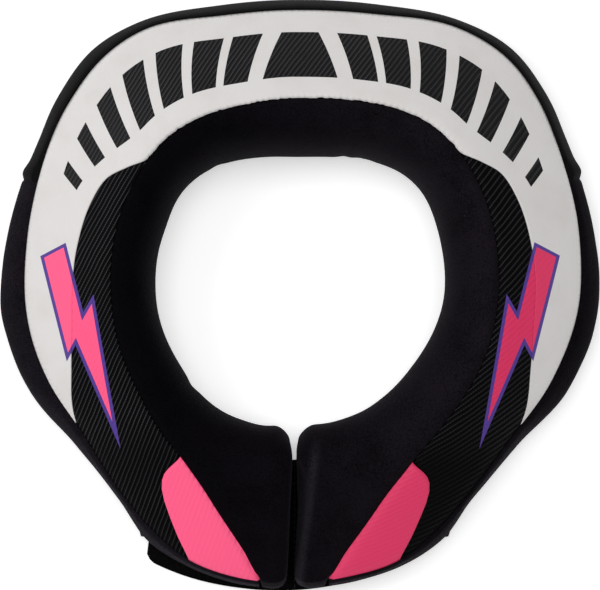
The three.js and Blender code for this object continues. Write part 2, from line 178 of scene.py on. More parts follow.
# The roll is free between the height where it leaves the floor and its seam, and firm towards its ends
END_ROUNDING = 7.5
ROLL_START_INSET = 0.5
ROLL_TOP_SINK = 0.3
HOLD_REACH = 7
HOLD_FULL = 1.5
ROLL_FREE_LOW = 8
ROLL_FREE_HIGH = 18
ROLL_FREE_REACH = 5
ROLL_WAVE = 0.45
ROLL_WAVE_SIZE = 26
ROLL_SWELL_CAP = 4
# Degrees round where the roll's folds end, it turns firm, and its ends are pressed
FIRM_START = 166
ROLL_FOLDS_END = 168
FIRM_END = 176
END_PRESS_START = 172
END_PRESS_FULL = 178.5
# Shares of the way down the roll's slope and its wall, closer together where they bend
SLOPE_SHARES = (0.16, 0.33, 0.5, 0.66, 0.8, 0.9, 0.96, 1)
ROLL_WALL_SHARES = (0.06, 0.14, 0.25, 0.45, 0.62, 0.8, 0.92, 1)

# The lower pad: slack under the panels and in the wall, and its gathers beside the seam with the side cover
PAD_SLACK = 0.3
WALL_SLACK = 0.8
PAD_SWELL_CAP = 3
SEAM_PUCKER = 1.5
PUCKER_HOLLOW = 0.6
SIDE_SEAM_DEPTH = 0.9
# The same, in degrees round
PUCKER_REACH = 1.9
PUCKER_HOLLOW_AWAY = 8
PUCKER_HOLLOW_REACH = 4
SIDE_SEAM_REACH = 0.5
SIDE_SEAM_WIDTH = 0.8
# Shares of the way up the pad's inner wall and down its outer wall, closer together where they bend
PAD_INNER_SHARES = (0, 0.06, 0.3, 0.65, 0.94)
PAD_WALL_SHARES = (0, 0.03, 0.07, 0.13, 0.2, 0.28, 0.37, 0.46, 0.55, 0.64, 0.73, 0.82, 0.9, 0.96, 1)
# How far under the eave the pad's wall starts at the back and at the sides, as a share of the panels' room
BACK_WALL_DROP = 0.35
SIDE_WALL_DROP = 1.4
# How far down the wall the cloth is rolled in under the panels' edge, as a share of its height
EAVE_ROLL = 0.05
COVER_ROLL = 0.07
# How far the cover's top edge is drawn in, as a share of the rim's lip
COVER_LIP_SHARE = 0.8

# The side covers: drawn in behind the seam, a little wavy, and with a small sewn tab at the foot
SIDE_DRAW = 0.6
SIDE_DRAW_START = 72
SIDE_DRAW_END = 84
COVER_WAVE = 0.5
COVER_WAVE_RADIUS = 130
COVER_WAVE_SIZE = 20
COVER_WAVE_SEED = 5
TAB_TURN = 148.2
TAB_WIDTH = 0.5
TAB_REACH = 1.5
TAB_TOP = 0.7
TAB_FULL = 0.9

# The flap: its round corners, how far it bows out on the left, in millimetres and degrees, and its thinning
FLAP_CORNER = 8
FLAP_BOW = 0.5
FLAP_BOW_START = 6
FLAP_BOW_FULL = 20
FLAP_THINNING = 0.2

# Stations round the collar, in degrees, closer together where the shape turns quickly, and points across
ROLL_STEP = 2
ROLL_END_TURNS = [174.7, 175.3, 175.9, 176.5, 177, 177.5, 178, 178.4, 178.8, 179.2, 179.6, 180]
PAD_STEP = 1.5
PAD_FRONT_STEP = 3
PAD_FRONT_START = 70
NEAR_SEAM = 62
NEAR_SEAM_STEP = 0.35
COVER_START = 0.15
COVER_NEAR_END = 71
COVER_STEP = 0.8
BACK_STEP = 0.9
SIDE_STEP = 1
ACROSS_COUNT = 16
EDGE_CROWDING = 0.6
TWILL_FRONT_ROWS = 24
PINK_ROWS = 26
FLAP_ROWS = 60
FLAP_ACROSS_COUNT = 18
# Steps over the roll from its underside to its crest and under it, and over and under the pad
UNDER_COUNT = 6
CREST_COUNT = 11
BASE_COUNT = 7
PAD_TOP_COUNT = 8
PAD_BASE_COUNT = 6
# The roll's and the wall's way round on the cloth map, in decimetres for each radian
ROLL_MAP_RADIUS = 0.85
WALL_MAP_RADIUS = 1.3
# How far a skin's faces look up rather than outwards when their side is chosen, in metres
UPWARD_PULL = 0.12

# Width, length and area that each cloth piece is cut to, in metres and square metres
WHITE_CUT = (0.052, 0.5, 0.0188)
TWILL_CUT = (0.037, 0.205, 0.0043)
PINK_CUT = (0.032, 0.062, 0.00133)
RIM_CUT = (0.036, 0.27, 0.0061)
FLAP_CUT = (0.059, 0.126, 0.0062)

# The simulation that puffs the cushions
SIM_FRAMES = 20
CLOTH_PRESSURE = 4
# The panels' slope, for unrolling their cloth
FLAT_SLOPE = math.radians(35)

# Stitches on the flap, in millimetres from the opening's middle
STITCH_LENGTH = 2.1
STITCH_WIDTH = 0.55
STITCH_STEP = 2.9
STITCH_COUNT = 20
STITCH_LINE_X = -2.4
STITCH_START_Y = -77
BOX_TOP_Y = -77
BOX_WIDTH = 2.6
BOX_STITCHES = 3

# Soft dents in the top: side, degrees round, share across, depth, and reach along and across in millimetres
DENTS = (
    (-1, 55, 0.48, 1.5, 15, 9),
    (1, 57, 0.50, 1.2, 13, 9),
    (1, 12, 0.30, 0.6, 20, 7),
    (-1, 96, 0.72, 0.7, 22, 8),
    (1, 104, 0.55, 0.8, 18, 8),
)
# How far the two pressed ends bulge towards each other: distance from the opening's middle, left and right
END_BULGES = (
    (60, 0, 0),
    (66, 0.2, 0.5),
    (74, 1.5, 1.3),
    (84, 1, -2.6),
    (103, 0, -2.8),
    (121, -0.4, 0.5),
    (129, -0.8, 2.6),
    (136, -0.8, 0),
)
# Faint folds of the roll: side, degrees round, depth, width along in millimetres
ROLL_FOLDS = (
    (1, 18, 1.3, 1.9),
    (1, 23.5, 1.1, 2.1),
    (1, 27, 0.7, 1.8),
    (-1, 33, 0.7, 2.6),
    (-1, 131, 0.8, 3),
)

# Printed plate and bars round the back, in degrees
BAR_SLANT = 12.0
PLATE_HALF = 7.0
FIRST_BAR = 14.5
BAR_STEP = 8.5
BAR_HALF = 3.4
BAR_THINNING = 2.2
BARS_END = 70.0
BAR_LIFT_START = 44.0
# Shares of the way across the panel where the bars lie, and how far the last ones are lifted
BARS_LOW = 0.23
BARS_HIGH = 0.74
BAR_LIFT = 0.33
# Corners of the two printed shards on each side, in millimetres from the middle line and from the origin
BOLT_SHARDS = (
    ((115, 14), (106, 18), (97, -17), (104, -29)),
    ((93, -8), (84, -60), (101, -21)),
)
BOLT_OUTLINE = 1.5

# Cloth patterns in decimetres, and colours
TWILL_PITCH = 0.0215
TWILL_LEAN = math.radians(46)
# Shares of the pitch: a float's length, its shift from rib to rib, and how far a rib wanders
FLOAT_LENGTH = 0.62
FLOAT_SHIFT = 0.37
RIB_WANDER = 0.35
FLOAT_END_LIGHT = 0.4
# Rows of the knit's loops, and the pulls of stitches beside a seam: reach, and number for each degree
KNIT_WALE = 0.012
KNIT_COURSE = 0.01
SEAM_PULL_REACH = 0.03
SEAM_PULL_COUNT = 0.55
EAVE_PULL_REACH = 0.025
EAVE_PULL_COUNT = 0.8
# Scales of the brushed nap's blotches, grain and lint, and of the loops and the thread
PILE_SCALE = 60
GRAIN_SCALE = 1300
LINT_SCALE = 150
LINT_SIZE = 0.075
LOOP_SCALE = 90
THREAD_SCALE = 2500
# The darkest share of the brushed cloth's colour, and what its pile and its tufts add
PILE_DARKEST = 0.1
PILE_RANGE = 1.4
TUFT_DARKEST = 0.35
TUFT_RANGE = 1.3
# Roughness of the prints and of the twill, what wear adds to it, and what a rib's top takes off
WHITE_ROUGHNESS = 0.5
PINK_ROUGHNESS = 0.48
TWILL_ROUGHNESS = 0.6
WORN_ROUGHNESS = 0.1
RIB_POLISH = 0.2
# The twill's ribs are lighter than its gaps: partly the weave's pattern, partly a painted glint on the ribs
TWILL_GAP_COLOUR = (0.0007, 0.0007, 0.001, 1)
TWILL_RIB_COLOUR = (0.05, 0.05, 0.057, 1)
WHITE_COLOUR = (0.72, 0.70, 0.69, 1)
WHITE_RIB_COLOUR = (0.70, 0.68, 0.67, 1)
WHITE_MOTTLE_COLOUR = (0.64, 0.61, 0.595, 1)
# The pink print's colours on the left and on the right: the left's is lighter with painted light and sheen,
# the right's darker with painted shade
PINK_LIT_LEFT_COLOUR = (1, 0.11, 0.25, 1)
PINK_SHADED_RIGHT_COLOUR = (0.7, 0.04, 0.125, 1)
PINK_GAP_SHARE = 0.06
# Strength of the painted glow of the pink print, a fluorescent ink: it shines with light of its own
PAINTED_PINK_GLOW = 0.1
PURPLE_COLOUR = (0.09, 0.05, 0.28, 1)
# Colours of the brushed cloth on the left and on the right; the difference between them is painted shade and
# light
ROLL_SHADED_LEFT_COLOUR = (0.0022, 0.0017, 0.0027, 1)
ROLL_LIT_RIGHT_COLOUR = (0.0105, 0.0082, 0.0118, 1)
RIM_LIT_LEFT_COLOUR = (0.0105, 0.0082, 0.0118, 1)
RIM_SHADED_RIGHT_COLOUR = (0.0055, 0.0044, 0.0062, 1)
# Colour of the painted highlight along the right front end's shoulder
SHOULDER_HIGHLIGHT_COLOUR = (0.0175, 0.015, 0.0195, 1)
LINT_COLOUR = (0.05, 0.047, 0.055, 1)
KNIT_COLOUR = (0.0028, 0.0028, 0.003, 1)
KNIT_LIT_COLOUR = (0.0065, 0.0062, 0.0068, 1)
HOOK_COLOUR = (0.0014, 0.0014, 0.0018, 1)
HOOK_LIT_COLOUR = (0.0055, 0.0055, 0.006, 1)
THREAD_COLOUR = (0.03, 0.03, 0.033, 1)

# Painted shade: where the twill's ribs and the pink lose their light, in metres from the origin, and by what
# share
SHADE_START_X = -0.02
SHADE_END_X = 0.11
SHADE_SHARE = 0.45
FRONT_FADE_START_Y = -0.055
FRONT_FADE_END_Y = -0.083
FRONT_FADE_X = 0.05
FRONT_FADE_LEFT = 0.45
FRONT_FADE_MORE_RIGHT = 0.43
PINK_SHADE_CHANGE_X = 0.03
# Wear, mottle, and how much of the weave shows through the print
WORN_SHARE = 0.4
MOTTLE_SHARE = 0.55
FILM_SHARE = 0.3
FINE_RIB_PITCH = 0.0095
FINE_RIB_HEIGHT = 0.15

# Where the brushed cloth's painted shade changes from the left's colour to the right's, and where its lint
# changes, in metres from the origin
BRUSHED_SHADE_START_X = -0.07
BRUSHED_SHADE_END_X = 0.09
LINT_START_X = -0.09
LINT_END_X = 0.07
# The painted highlight along the right front end's shoulder starts this far from the opening's middle, in
# metres, and slants to its foot
SHOULDER_HIGHLIGHT_TOP_X = 0.0065
SHOULDER_HIGHLIGHT_TOP_Y = -0.0765
SHOULDER_HIGHLIGHT_SLANT = 0.13
SHOULDER_HIGHLIGHT_REACH = 0.0036
SHOULDER_HIGHLIGHT_FADE = 0.012


def smoothstep(value, low, high):
    x = min(max((value - low) / (high - low), 0), 1)
    return x * x * (3 - 2 * x)


def lerp(a, b, share):
    return a + (b - a) * share


def clamp(value, low=0, high=1):
    return min(max(value, low), high)


def bell(distance, reach):
    """1 at no distance, fading both ways. At the reach it is about a third."""
    return math.exp(-((distance / reach) ** 2))


def corner_cut(size, distance):
    """How far a round corner of a size lies behind the straight edge, at a distance from its end."""
    near = clamp(size - distance, 0, size)
    return size - math.sqrt(size**2 - near**2)


def smooth_table(rows):
    """A smooth curve through rows of a key and values, level at both ends. It gives the values at any key."""
    keys = [row[0] for row in rows]
    values = np.array([row[1:] for row in rows], float)

    def at(key):
        key = clamp(key, keys[0], keys[-1])
        i = max(1, next((k for k, edge in enumerate(keys) if edge >= key), 1))
        start, end = keys[i - 1], keys[i]
        half = (end - start) / 2
        before = values[i - 2] if i >= 2 else values[i]
        after = values[i + 1] if i + 1 < len(keys) else values[i]
        weight_before = half / (start - keys[i - 2]) if i >= 2 else 0.5
        weight_after = half / (keys[i + 1] - end) if i + 1 < len(keys) else 0.5
        x = (key - start) / (end - start)
        xx, xxx = x * x, x * x * x
        share_before = -weight_before * xxx + 2 * weight_before * xx - weight_before * x
        share_start = (1 + weight_before) * xxx + (-1.5 - 2 * weight_before) * xx
        share_start += (weight_before - 0.5) * x + 1
        share_end = (-1 - weight_after) * xxx + (1.5 + weight_after) * xx + 0.5 * x
        share_after = weight_after * xxx - weight_after * xx
        return (
            share_before * before + share_start * values[i - 1] + share_end * values[i] + share_after * after
        )

    return at


SHARES_AT = smooth_table(SECTIONS)
SKEWS_AT = smooth_table(SKEWS)
WHITE_EDGE_AT = smooth_table(WHITE_EDGE)
PINK_EDGE_AT = smooth_table(PINK_EDGE)
END_BULGES_AT = smooth_table(END_BULGES)
CLOTH_TWISTS_AT = smooth_table(CLOTH_TWISTS)


@functools.lru_cache(maxsize=None)
def section_at(side, turn):
    """The real sizes of the collar's section at a place round it. side is 1 on the right, -1 on the left."""
    share = dict(zip(SECTION_COLUMNS, SHARES_AT(turn)))
    skew = dict(zip(SKEW_COLUMNS, SKEWS_AT(turn)))
    askew = side * SIDE_SKEW
    even_inner = OPENING_WIDTH / 2 * share["inner"]
    even_roll_edge = even_inner + ROLL_WIDTH * share["roll"]
    even_eave = even_roll_edge + PANEL_WIDTH * share["panel"]
    inner = even_inner + askew * skew["inner"]
    roll_edge = even_roll_edge + askew * skew["seam"]
    eave = even_eave + askew * skew["eave"]
    pad = clamp(share["pad"])
    on_flap = clamp(share["flap"])
    base = SHOULDER_ARCH * clamp(share["arch"]) + (FLAP_THICKNESS + CLEARANCE) * on_flap
    crest_height = BACK_HEIGHT * share["crest"]
    return SimpleNamespace(
        inner=inner,
        crest=lerp(inner, roll_edge, CREST_SHARE),
        seam=lerp(roll_edge, eave, pad) + askew * skew["seam"] * pad,
        eave=eave,
        flare=RIM_FLARE * share["rim"] + askew * (skew["rim"] - skew["eave"]),
        tuck=lerp(WALL_TUCK, FRONT_WALL_TUCK, on_flap),
        base=base,
        crest_height=crest_height,
        equator=lerp(base, crest_height, EQUATOR_SHARE),
        eave_height=EAVE_HEIGHT * share["eave"],
    )


def top_height(section, radius):
    """Height of the top's slope, which falls from the crest to the eave."""
    x = clamp((radius - section.crest) / (section.eave - section.crest))
    drop = x * x * (1 + CREST_ROUNDING) / (x + CREST_ROUNDING)
    return lerp(section.crest_height, section.eave_height, drop)


def wall_point(section, down):
    """Radius and height of the outer wall, a share of the way down from the eave."""
    above = min(1, down / WALL_WIDEST)
    below = clamp((down - WALL_WIDEST) / (1 - WALL_WIDEST))
    lean = section.flare * math.sin(math.pi / 2 * above) - section.tuck * below * below
    radius = section.eave + CLEARANCE / 2 + RIM_LIP + lean
    return radius, lerp(section.eave_height, section.base, down)


# The solids were centred on their outline, so the flap's box says where the opening's middle is.
FLAP_LOW, FLAP_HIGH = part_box("closure_flap")
FLAP_REACH = section_at(1, 180).eave - FLAP_INSET
OPENING_MIDDLE_X = (FLAP_LOW.x + FLAP_HIGH.x) / 2 / MM - FLAP_OFFSET_X
OPENING_MIDDLE_Y = FLAP_LOW.y / MM + FLAP_REACH - FLAP_OFFSET_Y


def place(side, turn, radius, height):
    """A point in metres, for a place round the collar and a radius and height in millimetres."""
    angle = math.radians(turn)
    sway = FRONT_SWAY * smoothstep(turn, SWAY_START, SWAY_END)
    x = side * (CLOSURE_GAP / 2 + radius * math.sin(angle)) + sway
    return Vector((x + OPENING_MIDDLE_X, radius * math.cos(angle) + OPENING_MIDDLE_Y, height)) * MM


def spread(count):
    return [i / count for i in range(count + 1)]


def edge_spread(count):
    """Shares from 0 to 1, closer together near both ends."""
    return [lerp(t, (1 - math.cos(math.pi * t)) / 2, EDGE_CROWDING) for t in spread(count)]


def turns_between(low, high, step):
    count = max(1, round((high - low) / step))
    return [low + (high - low) * t for t in spread(count)]


def round_the_back(turns):
    """Stations from the left half's last turn round the back to the right half's."""
    return [(-1, turn) for turn in reversed(turns)] + [(1, turn) for turn in turns]


def wave(side, turn, radius, size, seed):
    """Slow random swelling between -1 and 1 that runs on over the whole collar."""
    angle = math.radians(side * turn)
    point = Vector((radius * math.sin(angle), radius * math.cos(angle), seed * WAVE_LAYER)) / size
    return noise.noise(point)


def dent(side, turn, radius, across):
    """Depth of the soft dents at a place, as a negative height in millimetres."""
    section = section_at(side, turn)
    total = 0
    for dent_side, dent_turn, dent_across, depth, along, reach in DENTS:
        if side != dent_side:
            continue
        away = math.radians(turn - dent_turn) * radius
        off = (across - dent_across) * (section.eave - section.seam)
        total -= depth * bell(away, along) * bell(off, reach)
    return total


def panel_height(side, turn, across):
    """Height of the panels' face: the slope, sunk at both seams, and crowned and wavy between them."""
    section = section_at(side, turn)
    width = section.eave - section.seam
    radius = section.seam + across * width
    seam_distance = across * width
    eave_distance = (1 - across) * width
    height = top_height(section, radius)
    height -= SEAM_DEPTH * bell(seam_distance, SEAM_REACH)
    height -= EAVE_DEPTH * bell(eave_distance, EAVE_REACH)
    inside = smoothstep(seam_distance, 0, SEAM_FLAT) * smoothstep(eave_distance, 0, SEAM_FLAT)
    height += inside * PANEL_CROWN * math.sin(math.pi * across)
    height += inside * FOAM_WAVE * wave(side, turn, radius, FOAM_WAVE_SIZE, PANEL_WAVE_SEED)
    return height + inside * dent(side, turn, radius, across)


def around(side, turn, radius):
    """Distance and signed angle of a point from the middle of the opening, before the front's sway."""
    x = side * (CLOSURE_GAP / 2 + radius * math.sin(math.radians(turn)))
    y = radius * math.cos(math.radians(turn))
    return math.hypot(x, y), math.atan2(x, y)


def flat_cloth(side, turn, radius):
    """Where a point of the slope lies on the flat cloth, in decimetres: the slope is unrolled as a cone."""
    reach, angle = around(side, turn, radius)
    reach /= math.cos(FLAT_SLOPE) * DECIMETRE
    angle = angle * math.cos(FLAT_SLOPE) + math.radians(CLOTH_TWISTS_AT(side * turn)[0])
    return reach * math.sin(angle), reach * math.cos(angle)


def round_share(side, turn, radius):
    """How far round the collar a point is, from 0 at the closure to 1 at the closure again."""
    return around(side, turn, radius)[1] / math.tau + 0.5


def panel_point(side, turn, across):
    """A point of the panels' face with its three pairs of map coordinates."""
    section = section_at(side, turn)
    width = section.eave - section.seam
    low = section.seam + SEWN_GAP
    radius = lerp(low, section.eave - SEWN_GAP, across)
    return SimpleNamespace(
        co=place(side, turn, radius, panel_height(side, turn, across)),
        cloth=flat_cloth(side, turn, radius),
        place=(round_share(side, turn, radius), across),
        edges=(across * width / DECIMETRE, (1 - across) * width / DECIMETRE),
    )


MAPS = ("cloth", "place", "edges")


def finished(mesh, name, material):
    obj = bpy.data.objects.new(name, mesh)
    bpy.context.scene.collection.objects.link(obj)
    obj.data.materials.append(material)
    obj.data.shade_smooth()
    return obj


def make_active(obj):
    bpy.ops.object.select_all(action="DESELECT")
    obj.select_set(True)
    bpy.context.view_layer.objects.active = obj


def apply_modifiers(obj):
    make_active(obj)
    for modifier in list(obj.modifiers):
        bpy.ops.object.modifier_apply(modifier=modifier.name)


def grid_mesh(name, rows, closed=False, caps=False):
    """A mesh over rows of points with map coordinates. closed joins each row's last point to its first."""
    mesh = bpy.data.meshes.new(name)
    bm = bmesh.new()
    layers = [bm.loops.layers.uv.new(layer) for layer in MAPS]
    verts = [[bm.verts.new(point.co) for point in row] for row in rows]
    count = len(rows[0])
    columns = range(count if closed else count - 1)
    for r in range(len(rows) - 1):
        for c in columns:
            corners = ((r, c), (r, (c + 1) % count), (r + 1, (c + 1) % count), (r + 1, c))
            face = bm.faces.new([verts[i][j] for i, j in corners])
            for loop, (i, j) in zip(face.loops, corners):
                for layer, key in zip(layers, MAPS):
                    loop[layer].uv = getattr(rows[i][j], key)
    if caps:
        bm.faces.new(list(reversed(verts[0])))
        bm.faces.new(verts[-1])
    if closed:
        bmesh.ops.recalc_face_normals(bm, faces=bm.faces)
    bm.normal_update()
    bm.to_mesh(mesh)
    bm.free()
    return mesh


def face_outwards(mesh):
    """Turns an open skin so that its faces look away from the collar's middle."""
    score = 0
    for face in mesh.polygons:
        outwards = Vector((face.center.x, face.center.y, UPWARD_PULL))
        score += face.normal.dot(outwards) * face.area
    if score < 0:
        mesh.flip_normals()


def skin(name, rows, thickness, material):
    """A sewn skin over a grid of face points, thickened inwards."""
    mesh = grid_mesh(name, rows)
    face_outwards(mesh)
    obj = finished(mesh, name, material)
    solidify = obj.modifiers.new("thickness", "SOLIDIFY")
    solidify.thickness = thickness * MM
    solidify.offset = -1
    solidify.use_even_offset = False
    apply_modifiers(obj)
    return obj


def swell(obj, pin_weights, cap):
    """Puffs a closed cushion with air pressure as a cloth that is held at its pinned points.

    No point moves by more than the cap, in millimetres.
    """
    start = [vert.co.copy() for vert in obj.data.vertices]
    group = obj.vertex_groups.new(name="sewn")
    for index, weight in enumerate(pin_weights):
        group.add([index], weight, "REPLACE")
    cloth = obj.modifiers.new("puff", "CLOTH")
    settings = cloth.settings
    settings.quality = 5
    settings.mass = 0.2
    settings.tension_stiffness = 12
    settings.compression_stiffness = 12
    settings.shear_stiffness = 6
    settings.bending_stiffness = 1.5
    settings.use_pressure = True
    settings.uniform_pressure_force = CLOTH_PRESSURE
    settings.effector_weights.gravity = 0
    settings.vertex_group_mass = group.name
    cloth.collision_settings.use_collision = False
    cloth.point_cache.frame_start = 1
    cloth.point_cache.frame_end = SIM_FRAMES
    for step in range(1, SIM_FRAMES + 1):
        bpy.context.scene.frame_set(step)
    apply_modifiers(obj)
    bpy.context.scene.frame_set(1)
    obj.vertex_groups.clear()
    for vert, before in zip(obj.data.vertices, start):
        move = vert.co - before
        if move.length > cap * MM:
            vert.co = before + move.normalized() * cap * MM


def subdivide(obj, levels=1):
    modifier = obj.modifiers.new("smooth", "SUBSURF")
    modifier.levels = levels
    modifier.render_levels = levels
    apply_modifiers(obj)


def rounded_end(outline, turn):
    """Moves an outline's points inwards near the closed front, so that the two ends have round edges."""
    if turn < FRONT_START:
        return outline
    angle = math.radians(turn)
    rounded = []
    for i, (radius, height) in enumerate(outline):
        inset = corner_cut(END_ROUNDING, radius * math.sin(angle))
        before, after = outline[i - 1], outline[(i + 1) % len(outline)]
        along = Vector((after[0] - before[0], after[1] - before[1])).normalized()
        rounded.append((radius + along.y * inset, height - along.x * inset))
    return rounded


def roll_outline(side, turn):
    """Outline of the roll's section, anticlockwise from its underside by the neck, with each point's hold."""
    section = section_at(side, turn)
    front = smoothstep(turn, FRONT_SEAM_END, FRONT_WALL_START)
    seam = lerp(section.seam - SEWN_GAP, section.eave, front)
    start_inset = ROLL_START_INSET * (1 - smoothstep(turn, FIRM_START, FIRM_END))
    outline = []
    hold = []
    for t in spread(UNDER_COUNT):
        angle = t * math.pi / 2
        radius = section.inner + start_inset * t + ROLL_TUCK * (1 - math.sin(angle))
        outline.append((radius, section.equator - (section.equator - section.base) * math.cos(angle)))
        hold.append(1 - smoothstep(t, 0.1, 0.7))
    for t in spread(CREST_COUNT)[1:]:
        angle = t * math.pi / 2
        inner = section.inner + start_inset
        radius = section.crest - (section.crest - inner) * math.cos(angle)
        top = section.crest_height - ROLL_TOP_SINK * start_inset / ROLL_START_INSET * t
        outline.append((radius, section.equator + (top - section.equator) * math.sin(angle)))
        hold.append(0)
    slope_start = outline[-1][1]
    for t in SLOPE_SHARES:
        radius = lerp(section.crest, seam, t)
        sunk = SEAM_DEPTH * bell(seam - radius, SEAM_REACH) * (1 - front)
        height = top_height(section, radius) - sunk
        if t < 0.5:
            height -= (section.crest_height - slope_start) * (1 - 2 * t)
        outline.append((radius, height))
        hold.append(smoothstep(radius, seam - HOLD_REACH, seam - HOLD_FULL))
    top_radius, top = outline[-1]
    for t in ROLL_WALL_SHARES:
        radius, _ = wall_point(section, t)
        outline.append((lerp(top_radius, radius, front * min(1, 4 * t)), lerp(top, section.base, t)))
        hold.append(1)
    low_radius = outline[-1][0]
    for t in spread(BASE_COUNT)[1:-1]:
        outline.append((lerp(low_radius, section.inner + ROLL_TUCK, t), section.base))
        hold.append(1)
    return rounded_end(outline, turn), hold


def roll_fold(side, turn, radius):
    """Depth of the roll's faint folds at a place, as a negative push in millimetres."""
    total = 0
    for fold_side, fold_turn, depth, width in ROLL_FOLDS:
        if side == fold_side:
            total -= depth * bell(math.radians(turn - fold_turn) * radius, width)
    return total


def build_roll(material):
    turns = turns_between(0, FRONT_SEAM_END - ROLL_STEP, ROLL_STEP)
    turns += [FRONT_SEAM_END - 1, FRONT_SEAM_END] + ROLL_END_TURNS
    rows = []
    weights = []
    for side, turn in round_the_back(turns):
        outline, hold = roll_outline(side, turn)
        section = section_at(side, turn)
        before_end = 1 - smoothstep(turn, FRONT_SEAM_END - 1, FRONT_SEAM_END)
        row = []
        for i, (radius, height) in enumerate(outline):
            row.append(
                SimpleNamespace(
                    co=bulged(side, turn, place(side, turn, radius, height)),
                    cloth=(side * math.radians(turn) * ROLL_MAP_RADIUS, i / len(outline)),
                    place=(round_share(side, turn, radius), i / len(outline)),
                    edges=(abs(section.seam - radius) / DECIMETRE, before_end),
                )
            )
        rows.append(row)
        firm = smoothstep(turn, FIRM_START, FIRM_END)
        weights += [max(weight, firm) for weight in hold]
    obj = finished(grid_mesh("roll_cloth", rows, closed=True, caps=True), "roll_cloth", material)
    swell(obj, weights, ROLL_SWELL_CAP)
    fold_roll(obj)
    subdivide(obj)
    return obj


def fold_roll(obj):
    """Works the faint folds and slow waves of the foam into the free side of the roll."""
    normals = [vert.normal.copy() for vert in obj.data.vertices]
    for vert, normal in zip(obj.data.vertices, normals):
        x, y = vert.co.x / MM - OPENING_MIDDLE_X, vert.co.y / MM - OPENING_MIDDLE_Y
        radius = math.hypot(x, y)
        side = 1 if x >= 0 else -1
        turn = math.degrees(math.atan2(abs(x), y))
        section = section_at(side, round(turn, 1))
        free = smoothstep(section.seam - 1 - radius, 0, ROLL_FREE_REACH)
        free *= smoothstep(vert.co.z / MM, ROLL_FREE_LOW, ROLL_FREE_HIGH)
        free *= 1 - smoothstep(turn, ROLL_FOLDS_END, FIRM_END)
        push = roll_fold(side, turn, radius) + ROLL_WAVE * noise.noise(vert.co / MM / ROLL_WAVE_SIZE)
        vert.co += normal * push * free * MM


def bulged(side, turn, point):
    """Moves a point of the pressed front ends in or out along the closure."""
    radius = math.hypot(point.x / MM - OPENING_MIDDLE_X, point.y / MM - OPENING_MIDDLE_Y)
    amount = END_BULGES_AT(radius)[0 if side < 0 else 1]
    amount *= smoothstep(turn, END_PRESS_START, END_PRESS_FULL)
    point.x -= side * amount * MM
    return point


def pad_outline(side, turn):
    """Outline of the lower pad's section, up its inner wall, over the top and down, and each point's hold."""
    section = section_at(side, turn)
    under = PANEL_THICKNESS + CLEARANCE
    covered = smoothstep(turn, SIDE_SEAM, SIDE_SEAM + SIDE_SEAM_WIDTH)
    lowered = smoothstep(turn, BACK_WALL_END - PUCKER_HOLLOW_AWAY, BACK_WALL_END)
    at_seam = bell(turn - SIDE_SEAM, SIDE_SEAM_REACH) * (1 - covered)
    pucker = SEAM_PUCKER * bell(turn - BACK_WALL_END, PUCKER_REACH) * (1 - covered)
    pucker -= PUCKER_HOLLOW * bell(turn - BACK_WALL_END + PUCKER_HOLLOW_AWAY, PUCKER_HOLLOW_REACH)
    pucker -= SIDE_SEAM_DEPTH * at_seam
    inner = section.seam - SEWN_GAP
    inner_top = top_height(section, inner) - under - PAD_SLACK
    outline = []
    hold = []
    for t in PAD_INNER_SHARES:
        outline.append((inner, lerp(section.base, inner_top, t)))
        hold.append(1)
    for t in spread(PAD_TOP_COUNT):
        radius = lerp(inner, section.eave - RIM_COVER_THICKNESS * covered, t)
        outline.append((radius, top_height(section, radius) - under - PAD_SLACK))
        hold.append(1)
    for t in PAD_WALL_SHARES:
        radius, height = wall_point(section, t)
        inset = (RIM_COVER_THICKNESS + CLEARANCE) * covered - pucker * math.sin(math.pi * t)
        sunk = EAVE_DEPTH * bell(t, EAVE_ROLL) * (1 - covered)
        bulge = -WALL_SLACK * math.sin(math.pi * t) * (1 - covered)
        top = section.eave_height - under * lerp(BACK_WALL_DROP, SIDE_WALL_DROP, lowered)
        outline.append((radius - inset - sunk + bulge, min(height, top)))
        hold.append(max(covered, at_seam, 1 - smoothstep(math.sin(math.pi * t), 0.15, 0.7)))
    for t in spread(PAD_BASE_COUNT)[1:-1]:
        outline.append((lerp(outline[-1][0], inner, t), section.base))
        hold.append(1)
    return outline, hold


def build_pad(material):
    turns = turns_between(0, NEAR_SEAM, PAD_STEP)
    turns += turns_between(NEAR_SEAM + 0.5, SIDE_SEAM, NEAR_SEAM_STEP)
    turns += [SIDE_SEAM + SIDE_SEAM_WIDTH / 2, SIDE_SEAM + SIDE_SEAM_WIDTH]
    turns += turns_between(PAD_FRONT_START, PAD_END, PAD_FRONT_STEP)
    rows = []
    weights = []
    for side, turn in round_the_back(turns):
        outline, hold = pad_outline(side, turn)
        rows.append(
            [
                SimpleNamespace(
                    co=place(side, turn, radius, height),
                    cloth=(side * math.radians(turn) * WALL_MAP_RADIUS, height / DECIMETRE),
                    place=(round_share(side, turn, radius), i / len(outline)),
                    edges=(0.5, abs(height - section_at(side, turn).eave_height) / DECIMETRE),
                )
                for i, (radius, height) in enumerate(outline)
            ]
        )
        weights += hold
    obj = finished(grid_mesh("lower_pad_cloth", rows, closed=True, caps=True), "lower_pad_cloth", material)
    swell(obj, weights, PAD_SWELL_CAP)
    subdivide(obj)
    return obj


def ragged(side, turn):
    """How far the cut edge at the roll strays from its line, in millimetres, with a nick at each stitch."""
    stray = noise.noise(Vector((side * turn * STRAY_RATE, STRAY_SEED, 0)))
    nick = max(0, noise.noise(Vector((side * turn * NICK_RATE, NICK_SEED, 0))))
    return RAGGED_EDGE * (stray + NICK_SHARE * nick)


